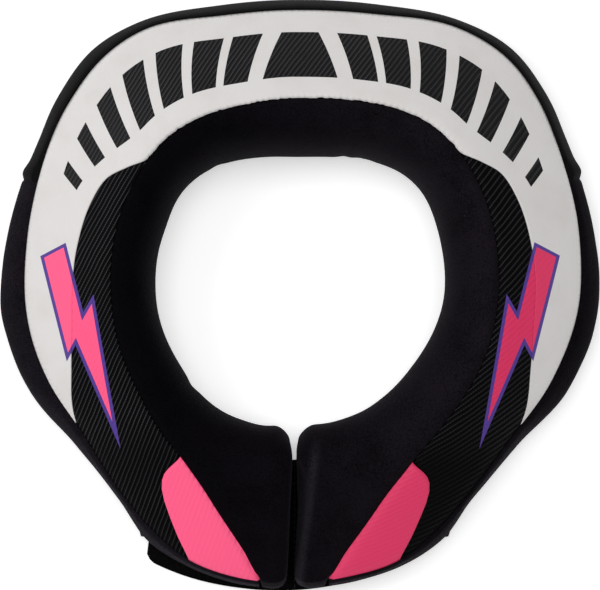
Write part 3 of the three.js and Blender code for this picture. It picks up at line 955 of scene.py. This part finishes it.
def build_white_panel(material):
    turns = turns_between(0, TWILL_START, BACK_STEP)
    turns += turns_between(TWILL_START, WHITE_END, SIDE_STEP)[1:]
    rows = []
    for side, turn in round_the_back(turns):
        section = section_at(side, turn)
        width = section.eave - section.seam
        start = 0 if turn < TWILL_START else WHITE_EDGE_AT(turn)[0] + SEWN_GAP / width
        start += ragged(side, turn) / width if turn < TWILL_START else 0
        rows.append([panel_point(side, turn, lerp(start, 1, t)) for t in edge_spread(ACROSS_COUNT)])
    return skin("white_panel_cloth", rows, PANEL_THICKNESS - CLEARANCE, material)


def build_twill_panel(side, hand, material):
    rows = []
    for turn in turns_between(TWILL_START, WHITE_END, SIDE_STEP):
        section = section_at(side, turn)
        end = WHITE_EDGE_AT(turn)[0] - SEWN_GAP / (section.eave - section.seam)
        rows.append([panel_point(side, turn, end * t) for t in edge_spread(ACROSS_COUNT)])
    for step in spread(TWILL_FRONT_ROWS):
        row = []
        for t in edge_spread(ACROSS_COUNT):
            turn = lerp(WHITE_END + SIDE_STEP, PINK_EDGE_AT(t)[0] - PANEL_GAP_TURN, step)
            row.append(panel_point(side, turn, t))
        rows.append(row)
    return skin(f"twill_panel_{hand}_cloth", rows, PANEL_THICKNESS - CLEARANCE, material)


def build_pink_panel(side, hand, material):
    rows = []
    for step in spread(PINK_ROWS):
        row = []
        for t in edge_spread(ACROSS_COUNT):
            turn = lerp(PINK_EDGE_AT(t)[0] + PANEL_GAP_TURN, FRONT_SEAM_END, step)
            row.append(panel_point(side, turn, t))
        rows.append(row)
    return skin(f"pink_panel_{hand}_cloth", rows, PANEL_THICKNESS - CLEARANCE, material)


def build_rim_cover(side, hand, material):
    rows = []
    turns = turns_between(SIDE_SEAM + COVER_START, COVER_NEAR_END, NEAR_SEAM_STEP)
    turns += turns_between(COVER_NEAR_END + 0.5, FRONT_SEAM_END, COVER_STEP)
    for turn in turns:
        section = section_at(side, turn)
        drawn_in = SIDE_SEAM_DEPTH * bell(turn - SIDE_SEAM, SIDE_SEAM_REACH)
        drawn_in += SIDE_DRAW * (1 - smoothstep(turn, SIDE_DRAW_START, SIDE_DRAW_END))
        tab = TAB_REACH * bell(turn - TAB_TURN, TAB_WIDTH)
        row = []
        for t in edge_spread(ACROSS_COUNT):
            radius, height = wall_point(section, t)
            rolled = bell(t, COVER_ROLL)
            radius -= RIM_LIP * COVER_LIP_SHARE * rolled
            height -= EAVE_DEPTH * rolled
            waves = wave(side, turn, COVER_WAVE_RADIUS, COVER_WAVE_SIZE, COVER_WAVE_SEED + t)
            radius += COVER_WAVE * math.sin(math.pi * t) * waves
            radius += tab * smoothstep(t, TAB_TOP, TAB_FULL) - drawn_in
            row.append(
                SimpleNamespace(
                    co=place(side, turn, radius, height),
                    cloth=(side * math.radians(turn) * WALL_MAP_RADIUS, height / DECIMETRE),
                    place=(round_share(side, turn, radius), t),
                    edges=(0.5, t * (section.eave_height - section.base) / DECIMETRE),
                )
            )
        rows.append(row)
    return skin(f"rim_cover_{hand}_cloth", rows, RIM_COVER_THICKNESS - CLEARANCE, material)


def build_flap(material):
    """The closure flap: a curved band with round corners, a little bowed where it peeps out."""
    rows = []
    for along in spread(FLAP_ROWS):
        turn = lerp(FLAP_LEFT_DRAW - FLAP_HALF_TURN, FLAP_HALF_TURN, along)
        from_end = min(along, 1 - along) * math.radians(2 * FLAP_HALF_TURN) * FLAP_REACH
        cut = corner_cut(FLAP_CORNER, from_end)
        bow = FLAP_BOW * smoothstep(-turn, FLAP_BOW_START, FLAP_BOW_FULL)
        row = []
        for t in spread(FLAP_ACROSS_COUNT):
            radius = lerp(FLAP_REACH - FLAP_DEPTH + cut, FLAP_REACH + bow - cut, t)
            angle = math.radians(turn)
            co = Vector(
                (
                    radius * math.sin(angle) + FLAP_OFFSET_X + OPENING_MIDDLE_X,
                    -radius * math.cos(angle) + FLAP_OFFSET_Y + OPENING_MIDDLE_Y,
                    FLAP_THICKNESS,
                )
            )
            row.append(
                SimpleNamespace(
                    co=co * MM,
                    cloth=(radius * math.radians(turn) / DECIMETRE, radius / DECIMETRE),
                    place=(along, t),
                    edges=(from_end / DECIMETRE, (FLAP_REACH - radius) / DECIMETRE),
                )
            )
        rows.append(row)
    return skin("closure_flap_cloth", rows, FLAP_THICKNESS - FLAP_THINNING, material)


def build_stitches(material):
    """Two sewn lines on the closure flap, seen in the gap between the ends. One stitch is made and copied."""
    bpy.ops.object.select_all(action="DESELECT")
    bpy.ops.mesh.primitive_cylinder_add(vertices=8, radius=STITCH_WIDTH / 2 * MM, depth=STITCH_LENGTH * MM)
    stitch = bpy.context.active_object
    bpy.ops.object.mode_set(mode="EDIT")
    bpy.ops.mesh.bevel(offset=STITCH_WIDTH * 0.3 * MM, segments=2)
    bpy.ops.transform.rotate(value=math.pi / 2, orient_axis="X", center_override=(0, 0, 0))
    bpy.ops.object.mode_set(mode="OBJECT")
    stitches = [stitch]
    for x, y, turned in stitch_places():
        copy = stitch.copy()
        copy.data = stitch.data.copy()
        bpy.context.scene.collection.objects.link(copy)
        copy.location = Vector((x + OPENING_MIDDLE_X, y + OPENING_MIDDLE_Y, FLAP_THICKNESS)) * MM
        copy.rotation_euler.z = turned
        stitches.append(copy)
    bpy.data.objects.remove(stitches.pop(0))
    for copy in stitches:
        copy.select_set(True)
    bpy.context.view_layer.objects.active = stitches[0]
    bpy.ops.object.join()
    line = bpy.context.active_object
    bpy.ops.object.transform_apply(location=True, rotation=True, scale=True)
    line.name = "closure_stitches"
    line.data.materials.clear()
    line.data.materials.append(material)
    line.data.shade_smooth()
    return line


def stitch_places():
    """Middle of each stitch from the opening's middle in millimetres, and its turn."""
    places = []
    for i in range(STITCH_COUNT):
        places.append((STITCH_LINE_X, STITCH_START_Y - i * STITCH_STEP, 0))
    for y in (BOX_TOP_Y, BOX_TOP_Y - BOX_STITCHES * STITCH_STEP):
        places.append((STITCH_LINE_X - BOX_WIDTH / 2, y, math.pi / 2))
    for i in range(BOX_STITCHES):
        places.append((STITCH_LINE_X - BOX_WIDTH, BOX_TOP_Y - (i + 0.5) * STITCH_STEP, 0))
    return places


# Materials

class Graph:
    """Short ways to add and link shader nodes in one node tree."""

    def __init__(self, tree):
        self.tree = tree

    def node(self, kind, **settings):
        made = self.tree.nodes.new(kind)
        for key, value in settings.items():
            setattr(made, key, value)
        return made

    def plug(self, socket, value):
        if isinstance(value, bpy.types.NodeSocket):
            self.tree.links.new(value, socket)
        else:
            socket.default_value = value

    def math(self, operation, *values):
        made = self.node("ShaderNodeMath", operation=operation)
        for socket, value in zip(made.inputs, values):
            self.plug(socket, value)
        return made.outputs[0]

    def mix(self, share, low, high):
        made = self.node("ShaderNodeMix", data_type="RGBA")
        self.plug(made.inputs["Factor"], share)
        self.plug(made.inputs[6], low)
        self.plug(made.inputs[7], high)
        return made.outputs[2]

    def ramp(self, value, low, high):
        """0 below low and 1 above high, smooth between."""
        made = self.node("ShaderNodeMapRange", interpolation_type="SMOOTHSTEP")
        self.plug(made.inputs["Value"], value)
        self.plug(made.inputs["From Min"], low)
        self.plug(made.inputs["From Max"], high)
        return made.outputs[0]

    def noise(self, vector, scale, detail=2.0, roughness=0.5):
        made = self.node("ShaderNodeTexNoise")
        self.plug(made.inputs["Vector"], vector)
        self.plug(made.inputs["Scale"], scale)
        self.plug(made.inputs["Detail"], detail)
        self.plug(made.inputs["Roughness"], roughness)
        return made.outputs["Fac"]

    def uv(self, name):
        return self.node("ShaderNodeUVMap", uv_map=name).outputs["UV"]

    def split(self, vector):
        made = self.node("ShaderNodeSeparateXYZ")
        self.plug(made.inputs[0], vector)
        return made.outputs[0], made.outputs[1], made.outputs[2]

    def group(self, tree, **values):
        made = self.node("ShaderNodeGroup", node_tree=tree)
        for key, value in values.items():
            self.plug(made.inputs[key.replace("_", " ")], value)
        return made.outputs


def node_group(name, inputs, outputs):
    """A shader node group with named float, vector or colour sockets, and the graph to fill it with."""
    tree = bpy.data.node_groups.new(name, "ShaderNodeTree")
    kinds = {"float": "NodeSocketFloat", "vector": "NodeSocketVector", "colour": "NodeSocketColor"}
    for socket_name, kind in inputs:
        tree.interface.new_socket(socket_name, in_out="INPUT", socket_type=kinds[kind])
    for socket_name, kind in outputs:
        tree.interface.new_socket(socket_name, in_out="OUTPUT", socket_type=kinds[kind])
    graph = Graph(tree)
    return graph, graph.node("NodeGroupInput").outputs, graph.node("NodeGroupOutput").inputs


def twill_group():
    """Slanting ribs of a twill, each broken into short floats. The map's unit is a decimetre."""
    graph, given, result = node_group(
        "twill ribs",
        (("Map", "vector"), ("Pitch", "float"), ("Lean", "float")),
        (("Rib", "float"), ("Height", "float")),
    )
    turned = graph.node("ShaderNodeVectorRotate", rotation_type="Z_AXIS")
    graph.plug(turned.inputs["Vector"], given["Map"])
    graph.plug(turned.inputs["Angle"], graph.math("MULTIPLY", given["Lean"], -1))
    along, across, _ = graph.split(turned.outputs[0])
    wander = graph.math("SUBTRACT", graph.noise(given["Map"], 9), 0.5)
    wander = graph.math("MULTIPLY", wander, RIB_WANDER)
    lines = graph.math("ADD", graph.math("DIVIDE", across, given["Pitch"]), wander)
    place_in_rib = graph.math("PINGPONG", lines, 0.5)
    rib = graph.ramp(place_in_rib, 0.3, 0.48)
    swell = graph.ramp(place_in_rib, 0.05, 0.45)
    row_number = graph.math("FLOOR", lines)
    shift = graph.math("MULTIPLY", row_number, FLOAT_SHIFT)
    float_length = graph.math("MULTIPLY", given["Pitch"], FLOAT_LENGTH)
    floats = graph.math("ADD", graph.math("DIVIDE", along, float_length), shift)
    float_end = graph.ramp(graph.math("PINGPONG", floats, 0.5), 0.02, 0.25)
    broken = graph.math("ADD", graph.math("MULTIPLY", float_end, 1 - FLOAT_END_LIGHT), FLOAT_END_LIGHT)
    graph.plug(result["Rib"], graph.math("MULTIPLY", rib, broken))
    graph.plug(result["Height"], graph.math("MULTIPLY", swell, graph.math("ADD", broken, 0.6)))
    return graph.tree


def fine_rib_group():
    """Fine upright ribs that show through a film of print."""
    graph, given, result = node_group(
        "fine ribs", (("Map", "vector"), ("Pitch", "float")), (("Rib", "float"),)
    )
    along, _, _ = graph.split(given["Map"])
    wander = graph.math("MULTIPLY", graph.noise(given["Map"], 24), 0.5)
    wave_place = graph.math("ADD", graph.math("DIVIDE", along, given["Pitch"]), wander)
    graph.plug(result["Rib"], graph.ramp(graph.math("PINGPONG", wave_place, 0.5), 0.05, 0.45))
    return graph.tree


def nap_group():
    """Brushed nap: blotches of pile that lies one way or the other, fine grain, and a few specks of lint."""
    graph, given, result = node_group(
        "brushed nap",
        (("Map", "vector"), ("Lint", "float")),
        (("Pile", "float"), ("Grain", "float"), ("Specks", "float")),
    )
    pile = graph.noise(given["Map"], PILE_SCALE, 3, 0.6)
    grain = graph.noise(given["Map"], GRAIN_SCALE, 2, 0.7)
    cells = graph.node("ShaderNodeTexVoronoi")
    graph.plug(cells.inputs["Vector"], given["Map"])
    graph.plug(cells.inputs["Scale"], LINT_SCALE)
    chosen = graph.math("LESS_THAN", graph.split(cells.outputs["Color"])[0], given["Lint"])
    size = graph.math("LESS_THAN", cells.outputs["Distance"], LINT_SIZE)
    graph.plug(result["Pile"], pile)
    graph.plug(result["Grain"], grain)
    graph.plug(result["Specks"], graph.math("MULTIPLY", chosen, size))
    return graph.tree


def seam_pull_group():
    """Small pulls where stitches draw the cloth in beside a seam. Distance and reach are in decimetres."""
    graph, given, result = node_group(
        "seam pulls",
        (("Turn", "float"), ("Distance", "float"), ("Reach", "float"), ("Count", "float")),
        (("Height", "float"),),
    )
    near = graph.math("SUBTRACT", 1, graph.ramp(given["Distance"], 0, given["Reach"]))
    stitches = graph.math("PINGPONG", graph.math("MULTIPLY", given["Turn"], given["Count"]), 0.5)
    pulled = graph.ramp(stitches, 0.05, 0.4)
    graph.plug(result["Height"], graph.math("MULTIPLY", near, pulled))
    return graph.tree


def bars_group():
    """Print: a plate in the middle of the back and slanting bars on both sides, thinner and thinner."""
    graph, given, result = node_group(
        "slanting bars",
        (("Turn", "float"), ("Across", "float")),
        (("Mask", "float"),),
    )
    slant = graph.math("MULTIPLY", graph.math("SUBTRACT", given["Across"], 0.5), BAR_SLANT)
    along = graph.math("ADD", graph.math("ABSOLUTE", given["Turn"]), slant)
    plate = graph.math("LESS_THAN", along, PLATE_HALF)
    steps = graph.math("DIVIDE", graph.math("SUBTRACT", along, FIRST_BAR), BAR_STEP)
    off = graph.math("ABSOLUTE", graph.math("SUBTRACT", steps, graph.math("ROUND", steps)))
    off = graph.math("MULTIPLY", off, BAR_STEP)
    far = graph.math("DIVIDE", along, BARS_END)
    thinning = graph.math("MULTIPLY", graph.math("MULTIPLY", far, far), BAR_THINNING)
    half = graph.math("SUBTRACT", BAR_HALF, thinning)
    bar = graph.math("LESS_THAN", off, half)
    beyond = graph.math("GREATER_THAN", along, FIRST_BAR - BAR_STEP / 2)
    before = graph.math("LESS_THAN", along, BARS_END)
    bar = graph.math("MULTIPLY", bar, graph.math("MULTIPLY", beyond, before))
    lift = graph.ramp(graph.math("ABSOLUTE", given["Turn"]), BAR_LIFT_START, BARS_END)
    low_edge = graph.math("ADD", BARS_LOW, graph.math("MULTIPLY", lift, BAR_LIFT))
    low = graph.math("GREATER_THAN", given["Across"], low_edge)
    high = graph.math("LESS_THAN", given["Across"], BARS_HIGH)
    band = graph.math("MULTIPLY", low, high)
    graph.plug(result["Mask"], graph.math("MULTIPLY", graph.math("MAXIMUM", bar, plate), band))
    return graph.tree


def convex_distance(graph, x, y, corners):
    """Distance of a point outside a convex outline with its corners anticlockwise. Inside it is negative."""
    distance = None
    for (ax, ay), (bx, by) in zip(corners, corners[1:] + corners[:1]):
        edge = Vector((bx - ax, by - ay)).normalized()
        part_x = graph.math("MULTIPLY", graph.math("SUBTRACT", x, ax), edge.y)
        part_y = graph.math("MULTIPLY", graph.math("SUBTRACT", y, ay), -edge.x)
        off = graph.math("ADD", part_x, part_y)
        distance = off if distance is None else graph.math("MAXIMUM", distance, off)
    return distance


def bolts_group():
    """Print: a long bolt on each side, of two shards that overlap, with an outline all round."""
    graph, given, result = node_group(
        "side bolts", (("Position", "vector"),), (("Fill", "float"), ("Outline", "float"))
    )
    x, y, _ = graph.split(given["Position"])
    x = graph.math("MULTIPLY", graph.math("ABSOLUTE", x), 1 / MM)
    y = graph.math("MULTIPLY", y, 1 / MM)
    distance = None
    for shard in BOLT_SHARDS:
        off = convex_distance(graph, x, y, shard)
        distance = off if distance is None else graph.math("MINIMUM", distance, off)
    graph.plug(result["Fill"], graph.math("LESS_THAN", distance, 0))
    graph.plug(result["Outline"], graph.math("LESS_THAN", distance, BOLT_OUTLINE))
    return graph.tree


GROUPS = SimpleNamespace(
    twill=twill_group(),
    ribs=fine_rib_group(),
    nap=nap_group(),
    pulls=seam_pull_group(),
    bars=bars_group(),
    bolts=bolts_group(),
)


def new_material(name):
    material = bpy.data.materials.new(name)
    material.use_nodes = True
    graph = Graph(material.node_tree)
    shader = material.node_tree.nodes["Principled BSDF"]
    return material, graph, shader


def bump(graph, height, strength, distance, before=None):
    made = graph.node("ShaderNodeBump")
    graph.plug(made.inputs["Height"], height)
    made.inputs["Strength"].default_value = strength
    made.inputs["Distance"].default_value = distance
    if before is not None:
        graph.plug(made.inputs["Normal"], before)
    return made.outputs["Normal"]


def turn_and_across(graph):
    round_share, across, _ = graph.split(graph.uv("place"))
    turn = graph.math("MULTIPLY", graph.math("SUBTRACT", round_share, 0.5), 360)
    return turn, across


def pulls(graph, turn, distance, reach, count):
    return graph.group(GROUPS.pulls, Turn=turn, Distance=distance, Reach=reach, Count=count)["Height"]


def panel_relief(graph, turn):
    """The pulls along both seams of a panel."""
    seam_distance, eave_distance, _ = graph.split(graph.uv("edges"))
    seam = pulls(graph, turn, seam_distance, SEAM_PULL_REACH, SEAM_PULL_COUNT)
    eave = pulls(graph, turn, eave_distance, EAVE_PULL_REACH, EAVE_PULL_COUNT)
    return graph.math("ADD", seam, eave)


def rib_light(graph, x, y, worn):
    """How light the twill's ribs are: painted shade makes them darker on the right and towards the front, and
    they are worn in patches.
    """
    shaded = graph.math("MULTIPLY", graph.ramp(x, SHADE_START_X, SHADE_END_X), SHADE_SHARE)
    more = graph.math("MULTIPLY", graph.ramp(x, 0.0, FRONT_FADE_X), FRONT_FADE_MORE_RIGHT)
    fade = graph.ramp(y, FRONT_FADE_START_Y, FRONT_FADE_END_Y)
    front = graph.math("MULTIPLY", graph.math("ADD", FRONT_FADE_LEFT, more), fade)
    light = graph.math("MULTIPLY", graph.math("SUBTRACT", 1, shaded), graph.math("SUBTRACT", 1, front))
    patches = graph.math("ADD", 1 - WORN_SHARE, graph.math("MULTIPLY", worn, WORN_SHARE))
    return graph.math("MULTIPLY", light, patches)


def print_material(name, base):
    """The panels' cloth: black twill, or twill under a film of white or pink print, with the motifs on it."""
    material, graph, shader = new_material(name)
    cloth = graph.uv("cloth")
    turn, across = turn_and_across(graph)
    twill = graph.group(GROUPS.twill, Map=cloth, Pitch=TWILL_PITCH, Lean=TWILL_LEAN)
    worn = graph.ramp(graph.noise(cloth, 3, 3), 0.3, 0.75)
    place_on_part = graph.node("ShaderNodeTexCoord").outputs["Object"]
    x, y, _ = graph.split(place_on_part)
    # The twill's ribs carry painted shade, darker on the right and towards the front
    twill_light = graph.math("MULTIPLY", twill["Rib"], rib_light(graph, x, y, worn))
    twill_colour = graph.mix(twill_light, TWILL_GAP_COLOUR, TWILL_RIB_COLOUR)
    # Painted light and shade: the pink is lighter on the left and darker on the right
    pink = graph.mix(graph.ramp(x, -PINK_SHADE_CHANGE_X, PINK_SHADE_CHANGE_X), PINK_LIT_LEFT_COLOUR, PINK_SHADED_RIGHT_COLOUR)
    pink_gap = graph.math("MULTIPLY", graph.math("SUBTRACT", 1, twill["Rib"]), PINK_GAP_SHARE)
    pink = graph.mix(pink_gap, pink, (0, 0, 0, 1))
    if base == "white":
        ribs = graph.group(GROUPS.ribs, Map=cloth, Pitch=FINE_RIB_PITCH)
        white = graph.mix(ribs["Rib"], WHITE_RIB_COLOUR, WHITE_COLOUR)
        mottle = graph.ramp(graph.noise(cloth, 5, 3, 0.55), 0.4, 0.75)
        white = graph.mix(graph.math("MULTIPLY", mottle, MOTTLE_SHARE), white, WHITE_MOTTLE_COLOUR)
        bars = graph.group(GROUPS.bars, Turn=turn, Across=across)
        colour = graph.mix(bars["Mask"], white, twill_colour)
        white_height = graph.math("MULTIPLY", ribs["Rib"], FINE_RIB_HEIGHT)
        bar_height = graph.math("MULTIPLY", bars["Mask"], twill["Height"])
        weave = graph.math("MAXIMUM", white_height, bar_height)
        roughness = graph.math("ADD", WHITE_ROUGHNESS, graph.math("MULTIPLY", worn, WORN_ROUGHNESS))
    elif base == "pink":
        colour = pink
        weave = graph.math("MULTIPLY", twill["Height"], FILM_SHARE)
        roughness = graph.math("ADD", PINK_ROUGHNESS, graph.math("MULTIPLY", worn, WORN_ROUGHNESS))
    else:
        colour = twill_colour
        weave = twill["Height"]
        roughness = graph.math("SUBTRACT", TWILL_ROUGHNESS, graph.math("MULTIPLY", twill["Rib"], RIB_POLISH))
    # Painted glow: the pink print and the pink bolts shine with light of their own
    painted_glow = pink
    if base != "pink":
        bolts = graph.group(GROUPS.bolts, Position=place_on_part)
        colour = graph.mix(bolts["Outline"], colour, PURPLE_COLOUR)
        colour = graph.mix(bolts["Fill"], colour, pink)
        painted_glow = graph.mix(bolts["Fill"], (0, 0, 0, 1), pink)
    graph.plug(shader.inputs["Base Color"], colour)
    graph.plug(shader.inputs["Emission Color"], painted_glow)
    shader.inputs["Emission Strength"].default_value = PAINTED_PINK_GLOW
    graph.plug(shader.inputs["Roughness"], roughness)
    normal = bump(graph, panel_relief(graph, turn), 0.45, 0.0005)
    graph.plug(shader.inputs["Normal"], bump(graph, weave, 0.7, 0.0002, normal))
    shader.inputs["Specular IOR Level"].default_value = 0.04 if base == "black" else 0.2
    return material


def painted_shoulder_highlight(graph, x, y):
    """How much painted highlight lies along the round shoulder of the right front end."""
    down = graph.math("SUBTRACT", y, OPENING_MIDDLE_Y * MM + SHOULDER_HIGHLIGHT_TOP_Y)
    line = graph.math("ADD", graph.math("MULTIPLY", down, SHOULDER_HIGHLIGHT_SLANT), OPENING_MIDDLE_X * MM + SHOULDER_HIGHLIGHT_TOP_X)
    off = graph.math("ABSOLUTE", graph.math("SUBTRACT", x, line))
    band = graph.math("SUBTRACT", 1, graph.ramp(off, 0, SHOULDER_HIGHLIGHT_REACH))
    return graph.math("MULTIPLY", band, graph.ramp(down, SHOULDER_HIGHLIGHT_FADE, 0))


def brushed_material(name, lint, left_colour, right_colour):
    """Brushed nylon, with painted shade and light: one side of the collar is painted darker than the other,
    where less light falls on it.
    """
    material, graph, shader = new_material(name)
    coords = graph.node("ShaderNodeTexCoord").outputs["Object"]
    nap = graph.group(GROUPS.nap, Map=coords, Lint=lint)
    x, y, _ = graph.split(coords)
    # Painted shade and light: the colour changes from the left's to the right's across the collar
    painted_side_light = graph.mix(graph.ramp(x, BRUSHED_SHADE_START_X, BRUSHED_SHADE_END_X), left_colour, right_colour)
    # Painted highlight along the round shoulder of the right front end
    painted_side_light = graph.mix(painted_shoulder_highlight(graph, x, y), painted_side_light, SHOULDER_HIGHLIGHT_COLOUR)
    pile = graph.math("ADD", PILE_DARKEST, graph.math("MULTIPLY", nap["Pile"], PILE_RANGE))
    tufts = graph.math("MULTIPLY", graph.ramp(nap["Grain"], 0.25, 0.75), TUFT_RANGE)
    shade = graph.math("MULTIPLY", pile, graph.math("ADD", TUFT_DARKEST, tufts))
    colour = graph.mix(shade, (0, 0, 0, 1), painted_side_light)
    lint_share = graph.math("MULTIPLY", nap["Specks"], graph.ramp(x, LINT_START_X, LINT_END_X))
    colour = graph.mix(lint_share, colour, LINT_COLOUR)
    graph.plug(shader.inputs["Base Color"], colour)
    turn, _ = turn_and_across(graph)
    seam_distance, _, _ = graph.split(graph.uv("edges"))
    seam = pulls(graph, turn, seam_distance, SEAM_PULL_REACH, SEAM_PULL_COUNT)
    normal = bump(graph, seam, 0.35, 0.0005)
    graph.plug(shader.inputs["Normal"], bump(graph, nap["Grain"], 0.8, 0.0005, normal))
    shader.inputs["Roughness"].default_value = 0.95
    shader.inputs["Specular IOR Level"].default_value = 0.03
    shader.inputs["Sheen Weight"].default_value = 0.03
    shader.inputs["Sheen Roughness"].default_value = 0.4
    shader.inputs["Sheen Tint"].default_value = (0.78, 0.68, 0.86, 1)
    return material


def knit_material(name):
    """Plain knit of the back wall and of the underside, in rows of small loops."""
    material, graph, shader = new_material(name)
    along, height, _ = graph.split(graph.uv("cloth"))
    wales = graph.math("PINGPONG", graph.math("DIVIDE", along, KNIT_WALE), 0.5)
    courses = graph.math("PINGPONG", graph.math("DIVIDE", height, KNIT_COURSE), 0.5)
    loops = graph.math("MULTIPLY", graph.ramp(wales, 0.05, 0.4), graph.ramp(courses, 0.03, 0.3))
    graph.plug(shader.inputs["Base Color"], graph.mix(loops, KNIT_COLOUR, KNIT_LIT_COLOUR))
    graph.plug(shader.inputs["Normal"], bump(graph, loops, 0.3, 0.0002))
    shader.inputs["Roughness"].default_value = 0.9
    shader.inputs["Specular IOR Level"].default_value = 0.05
    shader.inputs["Sheen Weight"].default_value = 0.02
    return material


def hook_material(name):
    """Loop side of the hook-and-loop closure, with a fuzz of small loops."""
    material, graph, shader = new_material(name)
    cells = graph.node("ShaderNodeTexVoronoi")
    graph.plug(cells.inputs["Vector"], graph.uv("cloth"))
    cells.inputs["Scale"].default_value = LOOP_SCALE
    hooks = graph.math("SUBTRACT", 1, graph.ramp(cells.outputs["Distance"], 0.1, 0.5))
    graph.plug(shader.inputs["Base Color"], graph.mix(hooks, HOOK_COLOUR, HOOK_LIT_COLOUR))
    graph.plug(shader.inputs["Normal"], bump(graph, hooks, 0.8, 0.0004))
    shader.inputs["Roughness"].default_value = 0.85
    shader.inputs["Specular IOR Level"].default_value = 0.05
    return material


def thread_material(name):
    """Twisted sewing thread."""
    material, graph, shader = new_material(name)
    coords = graph.node("ShaderNodeTexCoord").outputs["Object"]
    twist = graph.noise(coords, THREAD_SCALE, 1)
    graph.plug(shader.inputs["Base Color"], graph.mix(twist, HOOK_LIT_COLOUR, THREAD_COLOUR))
    graph.plug(shader.inputs["Normal"], bump(graph, twist, 0.5, 0.0001))
    shader.inputs["Roughness"].default_value = 0.6
    shader.inputs["Specular IOR Level"].default_value = 0.2
    return material


# Camera, floor and light

PHOTO_SIZE = (600, 590)
MM_PER_PIXEL = 0.45
OPENING_PIXEL = (300, 290)
PHOTO_TILT = 85
CAMERA_DISTANCE = 2500
AIM_HEIGHT = 30
SENSOR_WIDTH = 36
# The floor, in metres, and the light
FLOOR_SIZE_M = 6
FLOOR_DROP_M = 0.0002
FLOOR_COLOUR = (0.93, 0.93, 0.93, 1)
FLOOR_GLOW = 0.4
WORLD_STRENGTH = 0.35


def photo_camera():
    tilt = math.radians(PHOTO_TILT)
    away = Vector((0, -math.cos(tilt), math.sin(tilt)))
    up = Vector((0, math.sin(tilt), math.cos(tilt)))
    shift_x = (PHOTO_SIZE[0] / 2 - OPENING_PIXEL[0]) * MM_PER_PIXEL
    shift_y = -(PHOTO_SIZE[1] / 2 - OPENING_PIXEL[1]) * MM_PER_PIXEL
    aim = Vector((OPENING_MIDDLE_X + shift_x, OPENING_MIDDLE_Y, AIM_HEIGHT)) + up * shift_y
    data = bpy.data.cameras.new("photo_camera")
    data.sensor_fit = "HORIZONTAL"
    data.sensor_width = SENSOR_WIDTH
    data.lens = SENSOR_WIDTH * CAMERA_DISTANCE / (PHOTO_SIZE[0] * MM_PER_PIXEL)
    data.clip_end = 20
    camera = bpy.data.objects.new("photo_camera", data)
    bpy.context.scene.collection.objects.link(camera)
    camera.location = (aim + away * CAMERA_DISTANCE) * MM
    camera.rotation_euler = (-away).to_track_quat("-Z", "Y").to_euler()
    bpy.context.scene.camera = camera


def area_light(name, place_m, size, power):
    data = bpy.data.lights.new(name, "AREA")
    data.size = size
    data.energy = power
    light = bpy.data.objects.new(name, data)
    light.location = place_m
    light.rotation_euler = (-Vector(place_m)).to_track_quat("-Z", "Y").to_euler()
    bpy.context.scene.collection.objects.link(light)


def studio():
    bpy.ops.mesh.primitive_plane_add(size=FLOOR_SIZE_M, location=(0, 0, -FLOOR_DROP_M))
    floor = bpy.context.active_object
    floor.name = "studio_floor"
    material, _, shader = new_material("studio_floor")
    shader.inputs["Base Color"].default_value = FLOOR_COLOUR
    shader.inputs["Roughness"].default_value = 0.9
    shader.inputs["Emission Color"].default_value = (1, 1, 1, 1)
    shader.inputs["Emission Strength"].default_value = FLOOR_GLOW
    floor.data.materials.append(material)
    world = bpy.data.worlds.new("studio_world")
    bpy.context.scene.world = world
    world.use_nodes = True
    background = world.node_tree.nodes["Background"]
    background.inputs["Color"].default_value = (1, 1, 1, 1)
    background.inputs["Strength"].default_value = WORLD_STRENGTH
    area_light("soft_top", (0, 0.1, 3), 2.0, 42)
    area_light("soft_key", (-1.5, 0.35, 1.5), 1.0, 13)
    bpy.context.scene.view_settings.view_transform = "Standard"


def dress():
    brushed = brushed_material("brushed_cloth", 0.02, ROLL_SHADED_LEFT_COLOUR, ROLL_LIT_RIGHT_COLOUR)
    rim_brushed = brushed_material("rim_brushed_cloth", 0.01, RIM_LIT_LEFT_COLOUR, RIM_SHADED_RIGHT_COLOUR)
    knit = knit_material("knit_cover")
    white = print_material("white_print", "white")
    twill = print_material("twill_cloth", "black")
    pink = print_material("pink_print", "pink")
    hook = hook_material("hook_tape")

    roll = build_roll(brushed)
    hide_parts("collar_roll")
    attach(roll, "root")

    pad = build_pad(knit)
    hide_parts("lower_pad")
    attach(pad, "root")

    stitches = build_stitches(thread_material("sewing_thread"))
    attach(stitches, "root")

    sheets = [
        (build_white_panel(white), "white_panel", "white_print", WHITE_CUT, [pad]),
        (build_flap(hook), "closure_flap", "hook_tape", FLAP_CUT, []),
    ]
    for side, hand in ((-1, "left"), (1, "right")):
        sheets += [
            (build_twill_panel(side, hand, twill), f"twill_panel_{hand}", "twill_cloth", TWILL_CUT, [pad]),
            (build_pink_panel(side, hand, pink), f"pink_panel_{hand}", "pink_print", PINK_CUT, [pad]),
            (build_rim_cover(side, hand, rim_brushed), f"rim_cover_{hand}", "brushed_cloth", RIM_CUT, [pad]),
        ]
    for piece, node, slot, cut, rests in sheets:
        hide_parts(node)
        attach(piece, "root")


photo_camera()
studio()
dress()
